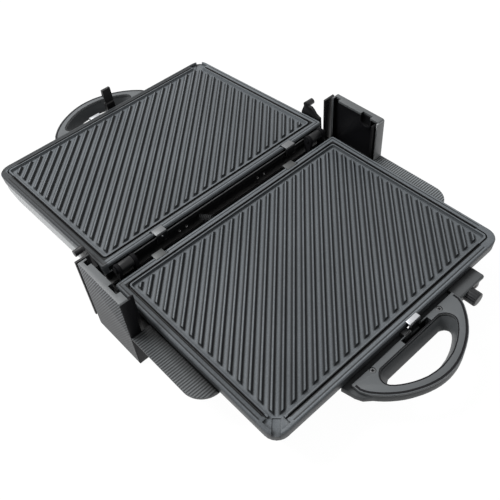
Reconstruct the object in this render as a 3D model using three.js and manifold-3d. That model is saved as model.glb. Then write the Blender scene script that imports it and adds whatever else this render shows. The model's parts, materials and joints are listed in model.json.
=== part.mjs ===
// Contact grill that opens flat: a ribbed base and a ribbed lid joined by a floating hinge.
// Millimetres, Z up. The floor is at Z 0, X runs along the hinge, the base lies towards -Y.
import * as THREE from 'three';
import { mergeVertices } from 'three/addons/utils/BufferGeometryUtils.js';
import Module from 'manifold-3d';

const wasm = await Module();
wasm.setup();

// Placing of the two halves
const RIM_HEIGHT = 57;
const HALF_GAP = 8.9;
const CLOSED_GAP = 1.2;
const LID_OPEN_DEGREES = 183.6;
const HINGE_AXIS_Y = -0.14;
const HINGE_AXIS_Z = 6.2;

// General clearances and steps
const SEAT_GAP = 0.3;
const RUNNING_GAP = 0.35;
const OVERRUN = 2;
const CORNER_STEPS = 6;
const ROUND_STEPS = 20;

// Cooking plates
const PLATE_WIDTH = 318;
const HALF_WIDTH = PLATE_WIDTH / 2;
const PLATE_DEPTH = 233;
const PLATE_CORNER_RADIUS = 15;
const HINGE_CORNER_RADIUS = 4;
const PLATE_THICKNESS = 7;
const SKIRT_HEIGHT = 12;
const SKIRT_WALL = 3;
const SKIRT_DRAFT = 0.6;
const RIM_CHAMFER = 1.2;
const HINGE_EDGE_THICKNESS = 4;
const HINGE_EDGE_DEPTH = 7;
const HINGE_CORNER_KEEP = 7;
const GROOVE_INSET = 8.1;
const GROOVE_WIDTH = 1.8;
const GROOVE_DEPTH = 2.6;
const BEAD_WIDTH = 2;
const BEAD_HEIGHT = 0.35;
const FIELD_DROP = 2.8;
const FIELD_WALL_SLOPE = 1;
const RIB_PITCH = 9.56;
const RIB_FOOT_WIDTH = 4.6;
const RIB_SHOULDER_WIDTH = 3;
const RIB_SHOULDER_HEIGHT = 2.3;
const RIB_CREST_WIDTH = 1.5;
const RIB_HEIGHT = 3;
const RIB_ROOT = 0.5;
const RIB_FIELD_INSET = 16;
const RIB_END_SLOPE = 1.4;
const DRAIN_BREAK = 21;
const DRAIN_LIP = 4;
const SPOUT_WIDTH = 8;
const SPOUT_START = 16;
const SPOUT_DROP = 1;

// Clips on the hinge edge and the catch on the far edge
const CLIP_END_GAPS = [56.5, 72];
const CLIP_CENTRES = [HALF_WIDTH - CLIP_END_GAPS[0], CLIP_END_GAPS[1] - HALF_WIDTH];
const CLIP_WIDTH = 13.5;
const CLIP_SHEET = 1.2;
const CLIP_REACH = 5;
const CLIP_STAND = 4.6;
const CLIP_DROP = 13;
const CLIP_RECESS_SLACK = 2.4;
const CLIP_TOP = 0.3;
const CATCH_CENTRE = -16;
const CATCH_WIDTH = 15;
const CATCH_REACH = 1.5;
const CATCH_STAND = 4.2;
const CATCH_SHEET = 1.2;
const CATCH_DROP = 17;
const CATCH_TRAVEL = 1.6;

// Frame ring, reflector and heater under each plate
const FRAME_WALL = 3;
const FRAME_UPPER_BOTTOM = 12.3;
const FRAME_STEP = 5;
const FRAME_BOTTOM = 20;
const FRAME_FLANGE = 8;
const FRAME_FLANGE_SHEET = 1.8;
const FRAME_CORNER_RADIUS = 11.4;
const HINGE_WALL_PROUD = 0.7;
const HINGE_WALL_TOP = 6.3;
const HINGE_WALL_BOTTOM = 12.2;
const HINGE_WEB_TOP = 9.5;
const REFLECTOR_SHEET = 0.8;
const REFLECTOR_HEIGHT = 5.5;
const REFLECTOR_CORNER_RADIUS = 6;
const HEATER_RADIUS = 3.3;
const HEATER_SIDES = 6;
const HEATER_STEPS = 56;
const HEATER_INSET = 38;
const HEATER_BEND = 22;
const HEATER_LEAD_GAP = 50;
const HEATER_LEAD_DROP = 16;
const HEATER_HOLE_RADIUS = 5;

// Outer shells
const SHELL_TOP = 12.6;
const SHELL_INSET = 1.3;
const SHELL_WALL = 2.2;
const LID_SHELL_DEPTH = 54.3;
const LID_SHELL_STATIONS = [
  { depth: SHELL_TOP, inset: SHELL_INSET, radius: 14 },
  { depth: 22, inset: SHELL_INSET, radius: 14.2 },
  { depth: 33, inset: 2.6, radius: 28 },
  { depth: 44, inset: 6.5, radius: 42 },
  { depth: 50.5, inset: 14, radius: 52 },
  { depth: LID_SHELL_DEPTH, inset: 30, radius: 62 },
];
const TUB_BOTTOM = 50;
const TUB_WALL = 2.2;
const TUB_FLOOR = 2.5;
const TUB_REAR_Y = 4.5;
const TUB_CORNER_RADIUS = 13;
const TUB_REAR_RADIUS = 3;
const TUB_INSET = 1.9;
const TUB_LAND = 14.2;
const TUB_SHOULDER = 24;
const TUB_SHOULDER_DRAFT = 4.2;
const TUB_DRAFT = 14;
const VENT_COUNT = 9;
const VENT_LENGTH = 60;
const VENT_WIDTH = 4;
const VENT_PITCH = 14;
const VENT_Y = -110;

// Side covers with tower and ledge, and what stands behind them
const SIDE_REACH = 22.5;
const TOWER_OUTER_X = HALF_WIDTH + SIDE_REACH;
const TOWER_WALL = 3;
const TOWER_FRONT_Y = -66;
const TOWER_REAR_Y = 5.5;
const TOWER_TOP = 41.3;
const TOWER_FLANGE_REACH = 13;
const TOWER_FLANGE_X = HALF_WIDTH + TOWER_FLANGE_REACH;
const TOWER_EDGE_CHAMFER = 1.5;
const REAR_NOTCH_FRONT_Y = -5;
const REAR_NOTCH_REAR_Y = 2;
const NOTCH_DEPTH_X = 4.5;
const PIN_NOTCH_FRONT_Y = -53;
const PIN_NOTCH_REAR_Y = -39.5;
const LEDGE_TOP = -11.5;
const LEDGE_SHEET = 3;
const LEDGE_UNDERLAP = 1;
const LEDGE_INNER_X = HALF_WIDTH - LEDGE_UNDERLAP;
const LEDGE_STEP_WIDTH = 1.5;
const LEDGE_STEP_X = LEDGE_INNER_X + LEDGE_STEP_WIDTH;
const LEDGE_STEP = 1.1;
const LEDGE_FRONT_GAP = 73.7;
const LEDGE_END_Y = LEDGE_FRONT_GAP - HALF_GAP - PLATE_DEPTH;
const LEDGE_RADIUS = 23;
const SHELF_TOP = -21;
const SHELF_SHEET = 3;
const SHELF_WEB_DEPTH = 55;
const REAR_WALL_Y = 10;
const REAR_WALL_SHEET = 2.5;
const REAR_WALL_START = 7;
const REAR_WALL_INNER_X = HALF_WIDTH + REAR_WALL_START;
const REAR_WALL_TOP = 36.6;
const REAR_WALL_BOTTOM = 47;
const LINER_SHEET = 2;
const LINER_TOP = 38;
const LINER_FLOOR_START = 6;
const LINER_FLOOR_INNER_X = HALF_WIDTH + LINER_FLOOR_START;
const POCKET_LIP = 1.6;
const POCKET_DEPTH = 13.5;
const POCKET_INNER_X = TOWER_FLANGE_X + SEAT_GAP;

// D handles; the outlines are half outlines: distance from the middle, distance from the plate's far edge
const HANDLE_FACE_DROP_BASE = 8;
const HANDLE_FACE_DROP_LID = 16;
const HANDLE_FACE_SHEET = 2.5;
const HANDLE_GRIP_HEIGHT = 17;
const HANDLE_GRIP_STRAIGHT = 8.2;
const HANDLE_GRIP_DRAFT = 5;
const HANDLE_FACE_START = 5.1;
const HANDLE_OUTLINE = [
  [72, 14], [69.5, 20], [66, 24.8], [61.5, 30], [56.3, 35.2], [48.4, 41.6], [41.8, 45.9], [34.5, 49.7],
  [26, 53.4], [17, 56.2], [9, 57.8], [0, 58.4],
];
const HANDLE_ROOT_WIDE = 78.5;
const HANDLE_ROOT_NARROW = 71.5;
const HANDLE_ROOT_REACH = 19.5;
const HANDLE_ROOT_SHOULDER = 13;
const HANDLE_ROOT_FLARE = 3;
const HANDLE_ROOT_TOP = 4.6;
const HANDLE_ROOT_BEVEL = 6;
const HANDLE_CURVE_STEPS = 16;
const OPENING_OUTLINE = [
  [42, 12.9], [46.6, 15.8], [49.4, 20], [49.8, 24.4], [47.6, 28.8], [41.7, 34], [34, 38.9], [25.4, 43.1],
  [14, 46.8], [0, 48.2],
];
const OPENING_CURVE_STEPS = 14;
const OPENING_TOP_DRAW = [1.4, 0, 0];
const OPENING_DRAW = [6, 6, 4];
const SLOT_START = 6.1;
const SLOT_END = 11.9;
const BASE_SLOT_X = [-32, 6];
const LID_SLOT_X = [5.2, 20.8];
const SLOT_POCKET_END = 13.2;
const SLOT_POCKET_DEPTH = 15.5;
const SCREW_X = 47.7;
const SCREW_Y = 8.4;
const SCREW_HEAD_RADIUS = 2.8;
const SCREW_HEAD_HEIGHT = 1.8;
const SCREW_SINK = 0.5;
const SCREW_SHANK_RADIUS = 1.6;
const SCREW_SHANK_LENGTH = 9;
const SCREW_SLACK = 0.35;

// Hook lock on the lid's handle; distances are from the plate's far edge, heights from its rim
const HOOK_CENTRE_X = 13;
const HOOK_WIDTH = 12;
const HOOK_PIVOT_REACH = 8.8;
const HOOK_PIVOT_DROP = 23;
const HOOK_BARREL_RADIUS = 3.5;
const HOOK_PIN_RADIUS = 1.5;
const HOOK_PIN_OVERHANG = 4;
const HOOK_STEM = [7.8, 11];
const HOOK_STEM_TOP = -13;
const HOOK_BODY = [6.9, 13.5];
const HOOK_BODY_TOP = 4;
const HOOK_NECK = [7.7, 9.9];
const HOOK_NOSE_REACH = 12.8;
const HOOK_NOSE_BOTTOM = 12.4;
const HOOK_NOSE_SHOULDER = 17;
const HOOK_TOP = 23;
const HOOK_BEVEL = 1.2;

// Control box, thermostat, knob and lamp
const CONTROL_INNER_X = 72.4;
const CONTROL_OUTER_X = 112;
const CONTROL_REACH = 14.3;
const CONTROL_PANEL = 11.5;
const CONTROL_LIP = 4.5;
const CONTROL_TOP = 10;
const CONTROL_BOTTOM = 31;
const CONTROL_WALL = 2;
const CONTROL_BEVEL = 1.5;
const KNOB_X = 89.5;
const KNOB_DROP = 19;
const KNOB_RADIUS = 7.6;
const KNOB_CHAMFER = 1;
const KNOB_LENGTH = 11.3;
const KNOB_GAP = 1.3;
const KNOB_FLUTES = 16;
const KNOB_FLUTE_DEPTH = 0.6;
const KNOB_BAR_WIDTH = 3;
const KNOB_BAR_HEIGHT = 1.4;
const SHAFT_RADIUS = 3;
const SHAFT_LENGTH = 18;
const SHAFT_IN_KNOB = 7;
const THERMOSTAT_SIZE = [18, 5.5, 11];
const LAMP_X = 104;
const LAMP_DROP = 22;
const LAMP_RADIUS = 2.6;
const LAMP_PROUD = 1.2;
const LAMP_FLANGE = 0.8;
const LAMP_LENGTH = 6;

// Floating hinge
const BEAM_TOP = -14;
const BEAM_HEIGHT = 5.7;
const BEAM_Y = [-3.6, 1.8];
const EAR_RADIUS = 6;
const ARM_INSET = 22;
const ARM_X = HALF_WIDTH - ARM_INSET;
const ARM_HALF_WIDTH = 7.5;
const EAR_SIDE_GAP = 0.5;
const EAR_WIDTH = 4;
const KNUCKLE_X = [ARM_X - ARM_HALF_WIDTH, ARM_X + ARM_HALF_WIDTH];
const EAR_INNER_X = [KNUCKLE_X[0] - EAR_SIDE_GAP - EAR_WIDTH, KNUCKLE_X[0] - EAR_SIDE_GAP];
const EAR_OUTER_X = [KNUCKLE_X[1] + EAR_SIDE_GAP, KNUCKLE_X[1] + EAR_SIDE_GAP + EAR_WIDTH];
const BEAM_HALF_LENGTH = EAR_OUTER_X[1];
const KNUCKLE_RADIUS = 5.5;
const HINGE_PIN_RADIUS = 2.5;
const HINGE_PIN_OVERHANG = [0.8, 1.8];
const HINGE_PIN_X = [EAR_INNER_X[0] - HINGE_PIN_OVERHANG[0], EAR_OUTER_X[1] + HINGE_PIN_OVERHANG[1]];
const HINGE_PIN_HEAD_RADIUS = 4;
const HINGE_PIN_HEAD = 1.4;
const ARM_SHEET = 3.5;
const ARM_DROP = 8.5;
const ARM_REACH = 24;
const ARM_NOTCH_SLACK = 1;
const LEG_INSET = 47;
const LEG_X = HALF_WIDTH - LEG_INSET;
const LEG_WIDTH = 9;
const LEG_BOTTOM = -46.5;
const SOCKET_WALL = 2.5;
const SOCKET_GAP = 0.4;

// Coiled wire guard
const GUARD_X = -32;
const GUARD_Y = -0.5;
const GUARD_Z = -4;
const GUARD_TURN_DEGREES = 33;
const GUARD_CURLS = 7;
const GUARD_PITCH = 2;
const GUARD_RADIUS = 2.6;
const GUARD_WIRE_RADIUS = 0.5;
const GUARD_STEPS_PER_CURL = 8;
const GUARD_SIDES = 5;
const SADDLE_WIDTH = 7;
const SADDLE_DEPTH = 4;

// Lid horns with guide pins
const HORN_SIDE_GAP = 1;
const HORN_SHEET = 3.4;
const HORN_X = [HALF_WIDTH + HORN_SIDE_GAP, HALF_WIDTH + HORN_SIDE_GAP + HORN_SHEET];
const HORN_PIN_Y = 26.4;
const HORN_PIN_Z = 12.1;
const HORN_PIN_RADIUS = 3.7;
const HORN_PIN_END_GAP = 0.6;
const HORN_PIN_END_X = TOWER_FLANGE_X - HORN_PIN_END_GAP;
const HORN_BOSS_RADIUS = 3.9;
const HORN_BOSS_DROP_DEGREES = 30;
const HORN_REAR_Y = 34.5;
const HORN_FRONT_Y = 4.5;
const HORN_FOOT_Z = -17;
const HORN_TAB_TOP = -12.8;
const HORN_CURVE_POINTS = [[4.5, 1.5], [8, 3], [11, 4.8], [14.6, 9], [18, 11.8]];
const HORN_NOTCH_SLACK = 0.6;

// Feet and the gland for the lead
const FOOT_INSET_X = 37;
const FOOT_X = HALF_WIDTH - FOOT_INSET_X;
const FOOT_REAR_REACH = 38;
const FOOT_FRONT_GAP = 36.9;
const FOOT_Y = [-FOOT_REAR_REACH, FOOT_FRONT_GAP - HALF_GAP - PLATE_DEPTH];
const FOOT_RADIUS = 11;
const FOOT_BEVEL = 1.5;
const GLAND_X = 60;
const GLAND_Z = -34;
const GLAND_RADIUS = 6;
const GLAND_FLANGE_RADIUS = 8;
const GLAND_FLANGE = 2;
const GLAND_BORE_RADIUS = 3.6;
const GLAND_INSIDE = 5;

// Finishes
const FINISH = {
  coating: { color: 0x5f6367, roughness: 0.42, metalness: 0.25 },
  greyPlastic: { color: 0x6a6e70, roughness: 0.4, metalness: 0 },
  blackPlastic: { color: 0x141516, roughness: 0.4, metalness: 0 },
  silver: { color: 0xb7bbbd, roughness: 0.34, metalness: 0.5 },
  brightSteel: { color: 0xd8dadb, roughness: 0.22, metalness: 1 },
  dullSteel: { color: 0x9a9ea0, roughness: 0.4, metalness: 0.9 },
  rubber: { color: 0x1d1d1e, roughness: 0.9, metalness: 0 },
  lamp: { color: 0xc23a20, roughness: 0.2, metalness: 0 },
};

// Turns a closed geometry into a solid that can be joined and cut
function toSolid(geometry) {
  const bare = new THREE.BufferGeometry();
  bare.setAttribute('position', geometry.getAttribute('position').clone());
  if (geometry.index) bare.setIndex(geometry.index.clone());
  const merged = mergeVertices(bare, 1e-4);
  const source = merged.index.array;
  const triangles = [];
  for (let i = 0; i < source.length; i += 3) {
    const [a, b, c] = [source[i], source[i + 1], source[i + 2]];
    if (a !== b && b !== c && c !== a) triangles.push(a, b, c);
  }
  return new wasm.Manifold(new wasm.Mesh({
    numProp: 3,
    vertProperties: new Float32Array(merged.getAttribute('position').array),
    triVerts: new Uint32Array(triangles),
  }));
}

// Turns a finished solid back into a geometry
function toGeometry(solid) {
  const mesh = solid.getMesh();
  const geometry = new THREE.BufferGeometry();
  geometry.setAttribute('position', new THREE.BufferAttribute(new Float32Array(mesh.vertProperties), 3));
  geometry.setIndex(new THREE.BufferAttribute(new Uint32Array(mesh.triVerts), 1));
  geometry.computeVertexNormals();
  return geometry;
}

function addPiece(group, name, solid, finish) {
  const piece = new THREE.Mesh(toGeometry(solid), new THREE.MeshStandardMaterial(finish));
  piece.name = name;
  group.add(piece);
}

// Joins a list of solids
function join(solids) {
  return solids.reduce((sum, solid) => sum.add(solid));
}

// Cuts a list of solids out of one
function cut(solid, tools) {
  return tools.reduce((rest, tool) => rest.subtract(tool), solid);
}

function box(x0, x1, y0, y1, z0, z1) {
  const geometry = new THREE.BoxGeometry(Math.abs(x1 - x0), Math.abs(y1 - y0), Math.abs(z1 - z0));
  geometry.translate((x0 + x1) / 2, (y0 + y1) / 2, (z0 + z1) / 2);
  return toSolid(geometry);
}

function extrude(outline, depth, holes) {
  const shape = new THREE.Shape(outline.map(([a, b]) => new THREE.Vector2(a, b)));
  for (const hole of holes) {
    shape.holes.push(new THREE.Path(hole.map(([a, b]) => new THREE.Vector2(a, b))));
  }
  return new THREE.ExtrudeGeometry(shape, { depth, bevelEnabled: false });
}

// A prism over an (x, y) outline
function prism(outline, z0, z1, holes = []) {
  const geometry = extrude(outline, Math.abs(z1 - z0), holes);
  geometry.translate(0, 0, Math.min(z0, z1));
  return toSolid(geometry);
}

// A prism over a (y, z) outline
function prismAlongX(outline, x0, x1, holes = []) {
  const geometry = extrude(outline, Math.abs(x1 - x0), holes);
  const turn = new THREE.Matrix4().makeBasis(
    new THREE.Vector3(0, 1, 0), new THREE.Vector3(0, 0, 1), new THREE.Vector3(1, 0, 0));
  geometry.applyMatrix4(turn);
  geometry.translate(Math.min(x0, x1), 0, 0);
  return toSolid(geometry);
}

// A prism over an (x, z) outline
function prismAlongY(outline, y0, y1, holes = []) {
  const geometry = extrude(outline, Math.abs(y1 - y0), holes);
  const turn = new THREE.Matrix4().makeBasis(
    new THREE.Vector3(1, 0, 0), new THREE.Vector3(0, 0, 1), new THREE.Vector3(0, -1, 0));
  geometry.applyMatrix4(turn);
  geometry.translate(0, Math.max(y0, y1), 0);
  return toSolid(geometry);
}

function circle(u, v, radius, steps = ROUND_STEPS) {
  const points = [];
  for (let i = 0; i < steps; i += 1) {
    const angle = (i / steps) * 2 * Math.PI;
    points.push([u + radius * Math.cos(angle), v + radius * Math.sin(angle)]);
  }
  return points;
}

function rod(u, v, radius, x0, x1, steps = ROUND_STEPS) {
  return prismAlongX(circle(u, v, radius, steps), x0, x1);
}

// A rectangle with round corners, counter-clockwise; the far corners may have their own radius
function roundedRectangle(x0, y0, x1, y1, near, far = near, steps = CORNER_STEPS) {
  const corners = [
    [x1 - near, y0 + near, near, -Math.PI / 2],
    [x1 - far, y1 - far, far, 0],
    [x0 + far, y1 - far, far, Math.PI / 2],
    [x0 + near, y0 + near, near, Math.PI],
  ];
  const points = [];
  for (const [cx, cy, radius, start] of corners) {
    for (let i = 0; i <= steps; i += 1) {
      const angle = start + (i / steps) * (Math.PI / 2);
      points.push([cx + radius * Math.cos(angle), cy + radius * Math.sin(angle)]);
    }
  }
  return points;
}

// A closed body through outlines of equal point count, from the lowest to the highest
function loft(sections) {
  const count = sections[0].outline.length;
  const positions = [];
  for (const { outline, z } of sections) {
    for (const [x, y] of outline) positions.push(x, y, z);
  }
  const index = [];
  for (let s = 0; s + 1 < sections.length; s += 1) {
    for (let i = 0; i < count; i += 1) {
      const a = s * count + i;
      const b = s * count + ((i + 1) % count);
      index.push(a, b, b + count, a, b + count, a + count);
    }
  }
  const capOf = (outline) => THREE.ShapeUtils.triangulateShape(
    outline.map(([x, y]) => new THREE.Vector2(x, y)), []);
  const last = (sections.length - 1) * count;
  for (const [a, b, c] of capOf(sections[0].outline)) index.push(a, c, b);
  for (const [a, b, c] of capOf(sections.at(-1).outline)) index.push(last + a, last + b, last + c);
  const geometry = new THREE.BufferGeometry();
  geometry.setAttribute('position', new THREE.Float32BufferAttribute(positions, 3));
  geometry.setIndex(index);
  return toSolid(geometry);
}

// The plate's outline drawn in from its edge; y starts at the hinge edge
function plateOutline(inset, far = Math.max(PLATE_CORNER_RADIUS - inset, SEAT_GAP), near = far) {
  const half = HALF_WIDTH - inset;
  return roundedRectangle(-half, inset, half, PLATE_DEPTH - inset, near, far);
}

// The same with the tighter corners that the plate's rim and frame have beside the hinge
function rimOutline(inset, far) {
  return plateOutline(inset, far, Math.max(HINGE_CORNER_RADIUS - inset, SEAT_GAP));
}

// All ribs as straight bars at 45 degrees, one of them through the middle of the hinge edge
function ribBars() {
  const foot = -FIELD_DROP - RIB_ROOT;
  const shoulder = RIB_SHOULDER_HEIGHT - FIELD_DROP;
  const crest = RIB_HEIGHT - FIELD_DROP;
  const reach = PLATE_WIDTH / 2 + PLATE_DEPTH;
  const turn = new THREE.Matrix4().makeRotationZ(-Math.PI / 4);
  const bars = [];
  const first = Math.ceil(-reach / Math.SQRT2 / RIB_PITCH);
  const last = Math.floor(PLATE_WIDTH / 2 / Math.SQRT2 / RIB_PITCH);
  for (let n = first; n <= last; n += 1) {
    const c = n * RIB_PITCH;
    const outline = [
      [c - RIB_FOOT_WIDTH / 2, foot],
      [c + RIB_FOOT_WIDTH / 2, foot],
      [c + RIB_FOOT_WIDTH / 2, -FIELD_DROP],
      [c + RIB_SHOULDER_WIDTH / 2, shoulder],
      [c + RIB_CREST_WIDTH / 2, crest],
      [c - RIB_CREST_WIDTH / 2, crest],
      [c - RIB_SHOULDER_WIDTH / 2, shoulder],
      [c - RIB_FOOT_WIDTH / 2, -FIELD_DROP],
    ];
    const geometry = extrude(outline, 2 * reach, []);
    geometry.applyMatrix4(new THREE.Matrix4().makeBasis(
      new THREE.Vector3(1, 0, 0), new THREE.Vector3(0, 0, 1), new THREE.Vector3(0, -1, 0)));
    geometry.translate(0, reach, 0);
    geometry.applyMatrix4(turn);
    bars.push(toSolid(geometry));
  }
  return join(bars);
}

// A cast plate: skirt, groove, bead, sunk field with ribs, drain corner and clip recesses
function cookingPlate() {
  const half = PLATE_WIDTH / 2;
  const fieldInset = GROOVE_INSET + GROOVE_WIDTH + BEAD_WIDTH;
  const blank = loft([
    { outline: rimOutline(SKIRT_DRAFT), z: -SKIRT_HEIGHT },
    { outline: rimOutline(0), z: -RIM_CHAMFER },
    { outline: rimOutline(RIM_CHAMFER), z: 0 },
  ]);
  const underside = prism(rimOutline(SKIRT_WALL + SKIRT_DRAFT), -SKIRT_HEIGHT - OVERRUN, -PLATE_THICKNESS);
  const hingeCut = box(
    HINGE_CORNER_KEEP - half, half - HINGE_CORNER_KEEP,
    -OVERRUN, HINGE_EDGE_DEPTH, -SKIRT_HEIGHT - OVERRUN, -HINGE_EDGE_THICKNESS);
  const cornerBlock = box(
    half - DRAIN_BREAK, half + OVERRUN, PLATE_DEPTH - DRAIN_BREAK, PLATE_DEPTH + OVERRUN,
    -PLATE_THICKNESS, PLATE_THICKNESS);
  const groove = prism(
    plateOutline(GROOVE_INSET), -GROOVE_DEPTH, OVERRUN,
    [plateOutline(GROOVE_INSET + GROOVE_WIDTH)]).subtract(cornerBlock);
  const field = loft([
    { outline: plateOutline(fieldInset + FIELD_WALL_SLOPE), z: -FIELD_DROP },
    { outline: plateOutline(fieldInset), z: 0 },
    { outline: plateOutline(fieldInset), z: OVERRUN },
  ]);
  const bead = prism(
    plateOutline(GROOVE_INSET + GROOVE_WIDTH), -BEAD_WIDTH, BEAD_HEIGHT,
    [plateOutline(fieldInset)]).subtract(cornerBlock);
  const drainWell = prism(plateOutline(DRAIN_LIP), -FIELD_DROP, OVERRUN).intersect(cornerBlock);
  const spoutGeometry = new THREE.BoxGeometry(
    SPOUT_WIDTH, SPOUT_START + OVERRUN, FIELD_DROP + SPOUT_DROP + OVERRUN);
  spoutGeometry.translate(0, (SPOUT_START + OVERRUN) / 2, (OVERRUN - FIELD_DROP - SPOUT_DROP) / 2);
  spoutGeometry.rotateZ(-Math.PI / 4);
  spoutGeometry.translate(half - SPOUT_START, PLATE_DEPTH - SPOUT_START, 0);
  const spout = toSolid(spoutGeometry);
  const recesses = CLIP_CENTRES.map((centre) => box(
    centre - CLIP_WIDTH / 2 - CLIP_RECESS_SLACK, centre + CLIP_WIDTH / 2 + SEAT_GAP,
    -OVERRUN, CLIP_REACH + SEAT_GAP, CLIP_TOP - CLIP_SHEET - SEAT_GAP, OVERRUN));
  const catchRecess = box(
    CATCH_CENTRE - CATCH_WIDTH / 2 - RUNNING_GAP, CATCH_CENTRE + CATCH_WIDTH / 2 + RUNNING_GAP,
    PLATE_DEPTH - CATCH_REACH - RUNNING_GAP, PLATE_DEPTH + OVERRUN, CLIP_TOP - CATCH_SHEET - RUNNING_GAP,
    OVERRUN);
  const ribField = loft([
    { outline: plateOutline(RIB_FIELD_INSET, RIB_CREST_WIDTH), z: -FIELD_DROP - RIB_ROOT },
    { outline: plateOutline(RIB_FIELD_INSET + RIB_END_SLOPE, RIB_CREST_WIDTH), z: RIB_HEIGHT },
  ]);
  const tray = cut(blank, [underside, hingeCut, groove, field]).add(bead);
  const drained = cut(tray, [drainWell, spout, catchRecess, ...recesses]);
  return drained.add(ribBars().intersect(ribField));
}

// A bent spring clip that holds the plate's hinge edge down
function plateClip(centre) {
  const top = CLIP_TOP;
  const foot = CLIP_TOP - CLIP_DROP;
  const wall = -HINGE_WALL_PROUD - SEAT_GAP;
  const outline = [
    [CLIP_REACH, top], [-CLIP_STAND, top], [-CLIP_STAND, foot], [wall, foot],
    [wall, foot + CLIP_SHEET], [CLIP_SHEET - CLIP_STAND, foot + CLIP_SHEET],
    [CLIP_SHEET - CLIP_STAND, top - CLIP_SHEET], [CLIP_REACH, top - CLIP_SHEET],
  ];
  return prismAlongX(outline, centre - CLIP_WIDTH / 2, centre + CLIP_WIDTH / 2);
}

// The sliding catch over the plate's far edge, with its stem down into the housing
function plateCatch(stemDrop) {
  const inner = PLATE_DEPTH - CATCH_REACH;
  const outer = PLATE_DEPTH + CATCH_STAND;
  const top = CLIP_TOP;
  const outline = [
    [inner, top], [inner, top - CATCH_SHEET], [outer - CATCH_SHEET, top - CATCH_SHEET],
    [outer - CATCH_SHEET, top - stemDrop], [outer, top - stemDrop], [outer, top - CATCH_SHEET / 2],
    [outer - CATCH_SHEET / 2, top],
  ];
  return prismAlongX(outline, CATCH_CENTRE - CATCH_WIDTH / 2, CATCH_CENTRE + CATCH_WIDTH / 2);
}

// The black ring that carries a plate; armNotches opens its hinge side for the hinge arms
function frameRing(armNotches) {
  const inset = SKIRT_WALL + SKIRT_DRAFT + SEAT_GAP;
  const top = -PLATE_THICKNESS - SEAT_GAP;
  const outline = (draw) => rimOutline(inset + draw, FRAME_CORNER_RADIUS - draw);
  const upper = prism(outline(0), -FRAME_UPPER_BOTTOM, top, [outline(FRAME_WALL)]);
  const step = prism(outline(FRAME_WALL / 2), -FRAME_UPPER_BOTTOM, FRAME_FLANGE_SHEET - FRAME_UPPER_BOTTOM,
    [outline(FRAME_STEP + FRAME_WALL / 2)]);
  const lower = prism(outline(FRAME_STEP), -FRAME_BOTTOM, FRAME_FLANGE_SHEET - FRAME_UPPER_BOTTOM,
    [outline(FRAME_STEP + FRAME_WALL)]);
  const flange = prism(outline(FRAME_STEP + FRAME_WALL / 2), -FRAME_BOTTOM,
    FRAME_FLANGE_SHEET - FRAME_BOTTOM,
    [outline(FRAME_STEP + FRAME_WALL + FRAME_FLANGE)]);
  const lipHalf = PLATE_WIDTH / 2 - PLATE_CORNER_RADIUS;
  const lip = box(-lipHalf, lipHalf, -HINGE_WALL_PROUD, FRAME_WALL - HINGE_WALL_PROUD, -HINGE_WALL_BOTTOM,
    -HINGE_WALL_TOP);
  const web = box(-lipHalf, lipHalf, FRAME_WALL / 2, inset + FRAME_WALL / 2, -HINGE_WALL_BOTTOM,
    -HINGE_WEB_TOP);
  const ring = join([upper, step, lower, flange, lip, web]);
  if (!armNotches) return ring;
  const notches = [-1, 1].map((side) => box(
    side * (KNUCKLE_X[0] - ARM_NOTCH_SLACK), side * (KNUCKLE_X[1] + ARM_NOTCH_SLACK),
    -HINGE_WALL_PROUD - OVERRUN, inset + FRAME_STEP + FRAME_WALL + ARM_NOTCH_SLACK,
    -ARM_DROP - ARM_SHEET - ARM_NOTCH_SLACK, 0));
  return cut(ring, notches);
}

// A folded sheet tray under the heater with two holes for its leads
function reflectorTray() {
  const inset = SKIRT_WALL + SKIRT_DRAFT + 2 * SEAT_GAP + FRAME_STEP + FRAME_WALL;
  const outline = (draw) => plateOutline(inset + draw, REFLECTOR_CORNER_RADIUS - draw);
  const bottom = FRAME_FLANGE_SHEET - FRAME_BOTTOM + SEAT_GAP;
  const tray = prism(outline(0), bottom, bottom + REFLECTOR_HEIGHT).subtract(
    prism(outline(REFLECTOR_SHEET), bottom + REFLECTOR_SHEET, bottom + REFLECTOR_HEIGHT + OVERRUN));
  const holes = [-1, 1].map((side) => prism(
    circle(side * HEATER_LEAD_GAP / 2, HEATER_INSET, HEATER_HOLE_RADIUS), bottom - OVERRUN,
    bottom + OVERRUN));
  const armSlots = [-1, 1].map((side) => box(
    side * (KNUCKLE_X[0] - ARM_NOTCH_SLACK), side * (KNUCKLE_X[1] + ARM_NOTCH_SLACK),
    0, ARM_REACH + ARM_NOTCH_SLACK, bottom - OVERRUN, bottom + REFLECTOR_HEIGHT + OVERRUN));
  return cut(tray, [...holes, ...armSlots]);
}

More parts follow.
